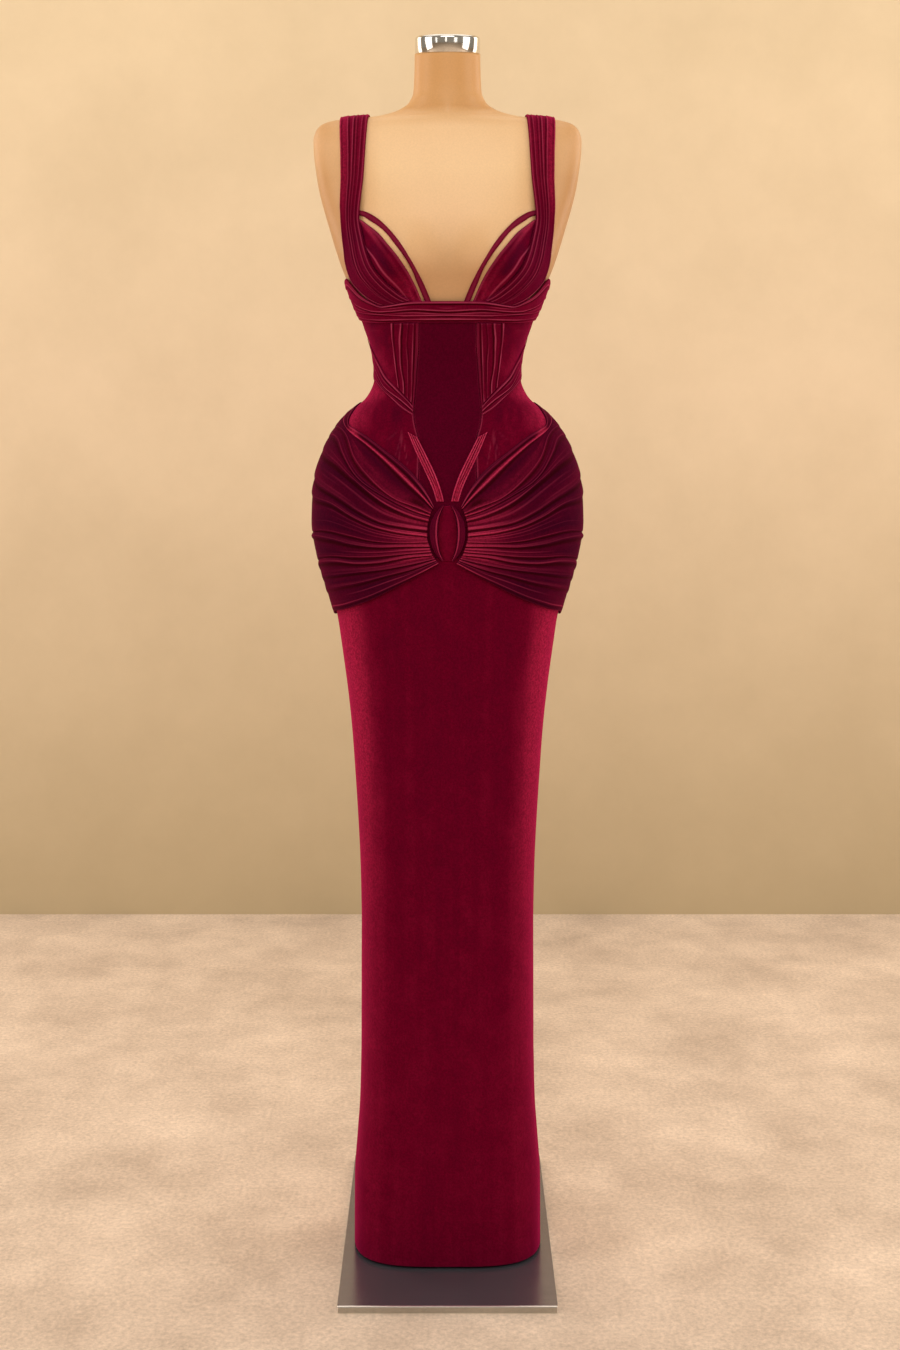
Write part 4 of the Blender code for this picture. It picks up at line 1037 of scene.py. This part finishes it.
def make_straps():
    """Each strap with its cup drape, gathered in pleats along its whole length."""
    along, across = shares("strap")
    outer = strap_edge(STRAP_OUTER_FRONT, STRAP_TOP_OUTER, STRAP_BACK_OUTER)
    inner = strap_edge(STRAP_INNER_FRONT, STRAP_TOP_INNER, STRAP_BACK_INNER)
    base = patch([curve(outer, along), curve(inner, along)], (0, 1), across)
    front_seat = np.interp(base[..., 2], *zip(*STRAP_FRONT_SEAT))
    seat = np.where(base[..., 1] < 0, front_seat, STRAP_SEAT)
    relief, lines = pleated(base, STRAP_PLEATS, across, along, (0.15, 0.5), 41, between=0, sway=0.3,
                            tips=(0.5, 0.4), floors=(0.3, 0.3), shine=STRAP_SHINE, line=0.8)
    settled = np.interp(base[..., 2], (1340, 1430), (0.55, 1))
    # Painted sheen, brighter towards the shoulder and on the outer part of the strap. The pleat lines are
    # painted highlights and shadow lines, and hollows get painted shade.
    light = np.interp(base[..., 2], (1330, 1400, 1470, 1545), (0.22, 0.16, 0.42, 0.5))
    light = light + 0.34 * step(1 - across, 0.62, 0.85)[None, :] * step(base[..., 2], 1400, 1470)
    cloth("strap_left", base, seat, WALL, relief * settled, VELVET, reach=6,
          lines=lines, tone_and_sheen=light, hollow_shade=0.9 * settled)


def make_band():
    """The draped band under the bust, from side seam to side seam."""
    along = np.linspace(0, 1, BAND_ROWS)
    lines = []
    for front, side_height in BAND_LINES:
        lines.append(curve(np.concatenate([seen(front), seam_point(side_height)]), along))
    across = spaced(*BAND_GRID_ACROSS)
    half = patch(lines, BAND_ACROSS, across)
    base = np.concatenate([half[:0:-1] * MIRROR, half])
    relief, lines = pleated(base, BAND_FOLDS, across, np.abs(np.linspace(-1, 1, len(base))), (0, 1), 51,
                            between=1, sway=0.3)
    # Painted highlights and shadow lines on the pleats, and painted shade in their hollows
    cloth("underbust_band", base, OVER_LAYER, WALL, relief, VELVET, reach=6,
          lines=1.4 * lines, tone_and_sheen=0.36, hollow_shade=0.8)


def make_waist():
    """The upright pleats beside the centre panel and the swag below them."""
    along, across = shares("waist_pleats")
    lines = front_curves((WAIST_PLEAT_OUTER, WAIST_PLEAT_MIDDLE, WAIST_PLEAT_INNER), along)
    base = patch(lines, (0, 0.5, 1), across)
    relief, lines = pleated(base, WAIST_PLEAT_FOLDS, across, along, (0, 1), 61, between=0, sway=0.16,
                            shine=WAIST_SHINE)
    # Painted highlights and shadow lines on the pleats, and painted shade in their hollows
    cloth("waist_pleats_left", base, LOW_SEAT, LOW_WALL, LOW_PLEATS * relief, VELVET,
          reach=6, lines=1.3 * lines, tone_and_sheen=0.3, hollow_shade=1.6)

    along, across = shares("waist_swag")
    lines = []
    for side_height, front in SWAG_LINES:
        lines.append(curve(np.concatenate([seam_point(side_height), seen(front)]), along))
    base = patch(lines, SWAG_ACROSS, across)
    relief, lines = pleated(base, SWAG_FOLDS, across, along, (0, 1), 62, between=1, sway=0.25,
                            shine=((1, 1),) * len(SWAG_FOLDS))
    settled = step(along, -0.05, 0.3)[:, None]
    thickness = SWAG_EDGE_WALL + (LOW_WALL - SWAG_EDGE_WALL) * settled
    # Painted highlights and shadow lines on the pleats, and painted shade in their hollows
    cloth("waist_swag_left", base, SWAG_EDGE_SEAT + (LOW_SEAT - SWAG_EDGE_SEAT) * settled, thickness,
          LOW_PLEATS * relief * thickness, VELVET, reach=6, lines=lines,
          tone_and_sheen=0.28, hollow_shade=1.2)


def drape_line(front, side_height, back_height, along):
    """One line of the hip drape, from the knot to the side and on to the centre back."""
    side = round_body([90], [side_height])
    turns = np.array(DRAPE_BACK_TURNS)
    heights = side_height + (back_height - side_height) * (turns - 90) / 90
    front_part = curve(np.concatenate([seen(front), side]), along[along <= DRAPE_SIDE] / DRAPE_SIDE)
    rest = (along[along > DRAPE_SIDE] - DRAPE_SIDE) / (1 - DRAPE_SIDE)
    return np.concatenate([front_part, curve(np.concatenate([side, round_body(turns, heights)]), rest)])


def make_drapes():
    """The hip drapes, fanned out from the knot round to the centre back. at runs down from the upper edge
    and away runs from the knot to the centre back, both from 0 to 1."""
    along, across = shares("hip_drape")
    lines = [drape_line(*row[1:], along) for row in DRAPE_LINES]
    base = patch(lines, [row[0] for row in DRAPE_LINES], across)
    relief, lines = pleated(base, DRAPE_FOLDS, across, along, (0, DRAPE_SIDE, 1), 71, between=DRAPE_FINE,
                            tips=(0.6, 0.1), floors=(0.25, 0.68), shine=DRAPE_SHINE, fading=(1, 0.25, 0.06),
                            line=0.75)
    at = across[None, :]
    away = along[:, None]
    # Painted sheen near the knot, painted highlights along the top band and at the hip corner, and painted
    # light on the plain leaf and the lower part; the streaks are the pile's own tone
    by_knot = 1 - step(away, 0.02, 0.26)
    by_knot = by_knot * (0.2 + 0.8 * step(at, 0.12, 0.27) * (1 - 0.6 * step(at, 0.7, 0.95)))
    band = hump(at - 0.048, 0.012) * (1 - step(away, 0.36, 0.4))
    corner = np.exp(-(((at - 0.035) / 0.03) ** 4)) * hump(away - 0.352, 0.025)
    plain = hump(at - 0.15, 0.07) * (1 - step(away, 0.3, 0.45))
    lower = step(at, 0.55, 0.75) * (1 - step(away, 0.35, 0.5))
    streaks = 0.16 * noise(away * 5, at * 34, 75) + 0.1 * noise(away * 9, at * 80, 76)
    light = 0.1 + 0.5 * by_knot + 0.6 * band + 0.9 * corner + 0.26 * plain + 0.06 * lower + streaks
    # Painted shade in a small patch beside the knot
    shade = 0.7 * hump(at - 0.12, 0.025) * hump(away - 0.045, 0.03)
    lift = np.interp(at, (0, 0.25), (DRAPE_EDGE_LIFT, DRAPE_LIFT))
    thickness = DRAPE_EDGE_WALL + (DRAPE_INNER_WALL - DRAPE_EDGE_WALL) * step(at, 0.01, 0.08)
    cloth("hip_drape_left", base, lift, thickness, relief, VELVET_DRAPE,
          reach=8, lines=lines - shade + 0.4 * corner,
          tone_and_sheen=light, hollow_shade=1.6)


def make_hip_bands():
    """The short pleated bands from the centre panel down to the knot."""
    along, across = shares("hip_band")
    base = patch(front_curves((HIP_BAND_OUTER, HIP_BAND_INNER), along), (0, 1), across)
    relief, lines = pleated(base, HIP_BAND_FOLDS, across, along, (0, 1), 72, between=0)
    # Painted highlights and shadow lines on the pleats, brightened all over, and painted shade in hollows
    cloth("hip_band_left", base, LOW_SEAT, LOW_WALL, LOW_PLEATS * relief, VELVET,
          reach=6, lines=1.4 * lines + 0.12, tone_and_sheen=1.0, hollow_shade=1.0)


def make_knot():
    """The oval knot that gathers the drapes: a pad between two curved folds."""
    along, across = shares("knot_fold")
    ends = np.sin(math.pi * (KNOT_END + (1 - 2 * KNOT_END) * along))[:, None]
    from_middle = (2 * across - 1)[None, :] ** 2

    lines = front_curves((KNOT_FOLD_INNER, KNOT_FOLD_OUTER), along)
    base = patch(lines, (0, 1), across)
    crest = KNOT_FOLD_CREST * ends * np.sqrt(1 - from_middle * KNOT_FOLD_SQUARENESS)
    at = across[None, :] + 0.03 * noise(along[:, None] * 4, 0, 81)
    inner = 1.2 * hump(at - 0.16, 0.09)
    outer = 0.3 * hump(at - 0.55, 0.05) * ends
    # Painted highlights along the inner and outer folds of the knot
    cloth("knot_fold_left", base, KNOT_LIFT, 0, crest + 0.4 * (inner + outer) * ends, VELVET_DRAPE,
          lines=0.9 * inner + 0.45 * outer, tone_and_sheen=0.36, edge_light=0, hollow_shade=0)

    along, across = shares("knot_pad")
    edge = curve(seen(KNOT_PAD_EDGE), along)
    base = patch([edge, edge * MIRROR], (0, 1), across)
    from_middle = (2 * across - 1)[None, :] ** 2
    crest = KNOT_PAD_CREST * ends * (1 - from_middle * KNOT_PAD_SQUARENESS)
    cloth("knot_pad", base, KNOT_LIFT, 0, crest, VELVET, tone_and_sheen=0.4, edge_light=0,
          hollow_shade=0)


def ring_mesh(name, rings, finish, node):
    """A round mesh through rings of points, in place of its node."""
    rings = np.array(rings)
    number = np.arange(rings.shape[0] * rings.shape[1]).reshape(rings.shape[:2])
    faces = grid_faces(np.hstack([number, number[:, :1]]))
    claimed(add_mesh(name, rings.reshape(-1, 3), faces, finish), node)


def make_form():
    """The dress form: one smooth skin from its rounded foot up to the neck, with closed ends."""
    foot = FORM_FOOT + np.array(FOOT_STEPS)
    rows = np.concatenate([foot, *(np.linspace(*run) for run in FORM_RUNS)])
    angles = np.linspace(0, 360, FORM_COLUMNS, endpoint=False)[None, :]
    base = round_body(angles, rows[:, None])
    skin = lifted(base, -np.interp(base[..., 2], *zip(*SKIN_FIT)))
    for k, taper in enumerate(FOOT_TAPERS):
        skin[k] *= np.array([taper, taper, 1])
        skin[k, :, 2] = foot[k]
    rings = [skin[0] * np.array([share, share, 1]) for share in END_SHARES]
    rings += list(skin)
    rings += [skin[-1] * np.array([share, share, 1]) for share in END_SHARES[::-1]]
    rings = np.array(rings)
    rings[-3:, :, 2] = NECK_TOP + (rings[-3:, :, 1] - NECK_BACK) * math.tan(NECK_TILT)
    ring_mesh("form_skin", rings, SATIN, "form_shell")


def make_cap():
    """The neck cap, turned on the neck's sloping top from a profile of radius and height."""
    top = SEAT + CAP_HEIGHT
    corner = [(CAP_RADIUS - CAP_EDGE + CAP_EDGE * math.sin(a), top - CAP_EDGE + CAP_EDGE * math.cos(a))
              for a in np.radians(np.linspace(90, 0, 9))]
    profile = [(CAP_HOLE, SEAT), (CAP_RADIUS - CAP_BEVEL, SEAT), (CAP_RADIUS, SEAT + CAP_BEVEL), *corner,
               (CAP_HOLE, top)]
    turns = np.radians(np.linspace(0, 360, CAP_COLUMNS, endpoint=False))
    rings = []
    for radius, height in profile:
        out = radius * np.sin(turns)
        back = NECK_BACK + out * math.cos(NECK_TILT) - height * math.sin(NECK_TILT)
        up = NECK_TOP + out * math.sin(NECK_TILT) + height * math.cos(NECK_TILT)
        rings.append(np.stack([radius * np.cos(turns), back, up], -1))
    ring_mesh("neck_cap_polished", rings, CHROME, "neck_cap")


def wall_look():
    """Warm plaster with faint clouds, and painted shade that darkens it towards the floor. It is clear from
    behind.
    """
    made, tree, shader, place = look("stage_wall", Roughness=0.9)
    clouds = ramp(tree, texture(tree, place, 0.9, 4.0), (0.3, 0.95), (0.7, 1.03))
    plaster = ramp(tree, texture(tree, place, 4.5, 6.0, 0.65), (0.32, (0.96, 0.955, 0.94)), (0.68, 1.03))
    height = node(tree, "SeparateXYZ", {0: place}).outputs["Z"]
    # Painted shade: the wall darkens towards the floor
    tone = ramp(tree, ranged(tree, height, high=2.0), (0.0, (0.56, 0.45, 0.28)), (0.6, (0.85, 0.675, 0.47)),
                (1.0, (0.86, 0.69, 0.46)))
    tone = mixed(tree, 1.0, tone, mixed(tree, 1.0, clouds, plaster, "MULTIPLY"), "MULTIPLY")
    wired(tree, shader, Base_Color=tone)
    behind = node(tree, "NewGeometry").outputs["Backfacing"]
    clear = node(tree, "BsdfTransparent")
    choice = node(tree, "MixShader", {0: behind, 1: shader.outputs[0], 2: clear.outputs[0]})
    tree.links.new(choice.outputs[0], tree.nodes["Material Output"].inputs["Surface"])
    return made


def floor_look():
    """Pale short carpet with faint patches and fibres."""
    made, tree, shader, place = look("stage_floor", Roughness=0.95)
    tone = ramp(tree, texture(tree, place, 5.0, 6.0, 0.65), (0.3, (0.60, 0.475, 0.375)),
                (0.7, (0.90, 0.74, 0.60)))
    fibres = ramp(tree, texture(tree, place, 150.0, 4.0, 0.75), (0.32, (0.8, 0.79, 0.77)), (0.68, 1.16))
    wired(tree, shader, Base_Color=mixed(tree, 1.0, tone, fibres, "MULTIPLY"))
    return made


def make_stage():
    """A plain pale floor, a plain warm wall, soft lights and the camera."""
    left, right = -STAGE_HALF, STAGE_HALF
    for name, corners, finish in (
        ("stage_floor", ((left, -STAGE_HALF, 0), (right, -STAGE_HALF, 0), (right, WALL_BEHIND, 0),
                         (left, WALL_BEHIND, 0)), floor_look()),
        ("stage_wall", ((left, WALL_BEHIND, 0), (right, WALL_BEHIND, 0), (right, WALL_BEHIND, STAGE_HIGH),
                        (left, WALL_BEHIND, STAGE_HIGH)), wall_look()),
    ):
        mesh = bpy.data.meshes.new(name)
        mesh.from_pydata(corners, [], [(0, 1, 2, 3)])
        mesh.materials.append(finish)
        made = bpy.data.objects.new(name, mesh)
        bpy.context.scene.collection.objects.link(made)

    for name, place, size, power, tone in (
        ("front_soft", (0, -3.0, 3.5), (2.6, 1.6), 45, (1.0, 0.94, 0.86)),
        ("left_soft", (-2.5, -0.9, 1.5), (1.2, 2.6), 26, WARM),
        ("right_soft", (2.5, -0.9, 1.5), (1.2, 2.6), 26, WARM),
        ("left_rim", (-2.2, 1.2, 1.6), (0.9, 2.4), 16, WARM),
        ("right_rim", (2.2, 1.2, 1.6), (0.9, 2.4), 16, WARM),
        ("top_soft", (0, 0.3, 3.6), (3.0, 2.0), 22, (1.0, 0.93, 0.84)),
        ("strip_centre", (-0.25, -2.9, 1.5), (0.22, 0.9), 1.2, NEUTRAL),
        ("strip_right", (1.3, -2.4, 1.5), (0.5, 0.9), 2.0, NEUTRAL),
        ("strip_left", (-1.7, -2.1, 1.5), (0.25, 0.9), 1.2, NEUTRAL),
    ):
        lamp = bpy.data.lights.new(name, "AREA")
        lamp.shape = "RECTANGLE"
        lamp.size, lamp.size_y = size
        lamp.energy = power
        lamp.color = tone
        made = bpy.data.objects.new(name, lamp)
        made.location = place
        made.rotation_euler = (LAMP_TARGET - Vector(place)).to_track_quat("-Z", "Y").to_euler()
        made.visible_camera = False
        bpy.context.scene.collection.objects.link(made)

    world = bpy.data.worlds.new("soft_room")
    world.use_nodes = True
    world.node_tree.nodes["Background"].inputs["Color"].default_value = (0.95, 0.83, 0.68, 1)
    world.node_tree.nodes["Background"].inputs["Strength"].default_value = 0.3
    bpy.context.scene.world = world
    bpy.context.scene.view_settings.view_transform = "Standard"

    data = bpy.data.cameras.new("camera")
    data.lens = LENS
    data.sensor_width = SENSOR
    data.shift_x = SHIFT_ACROSS
    data.shift_y = -SHIFT_DOWN
    camera = bpy.data.objects.new("camera", data)
    camera.location = (0, (BODY_Y - EYE_DISTANCE) * MM, EYE_HEIGHT * MM)
    camera.rotation_euler = (math.pi / 2, 0, 0)
    bpy.context.scene.collection.objects.link(camera)
    bpy.context.scene.camera = camera


def dress_nodes():
    """The brushed steel on the CAD nodes that stay."""
    for name in ("stand_plate", "pole_flange", "pole", "pole_collar"):
        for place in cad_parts[name].material_slots:
            place.material = STEEL


make_stage()
dress_nodes()
make_form()
make_cap()
make_skirt()
make_bodice()
make_cups()
make_straps()
make_band()
make_waist()
make_drapes()
make_hip_bands()
make_knot()
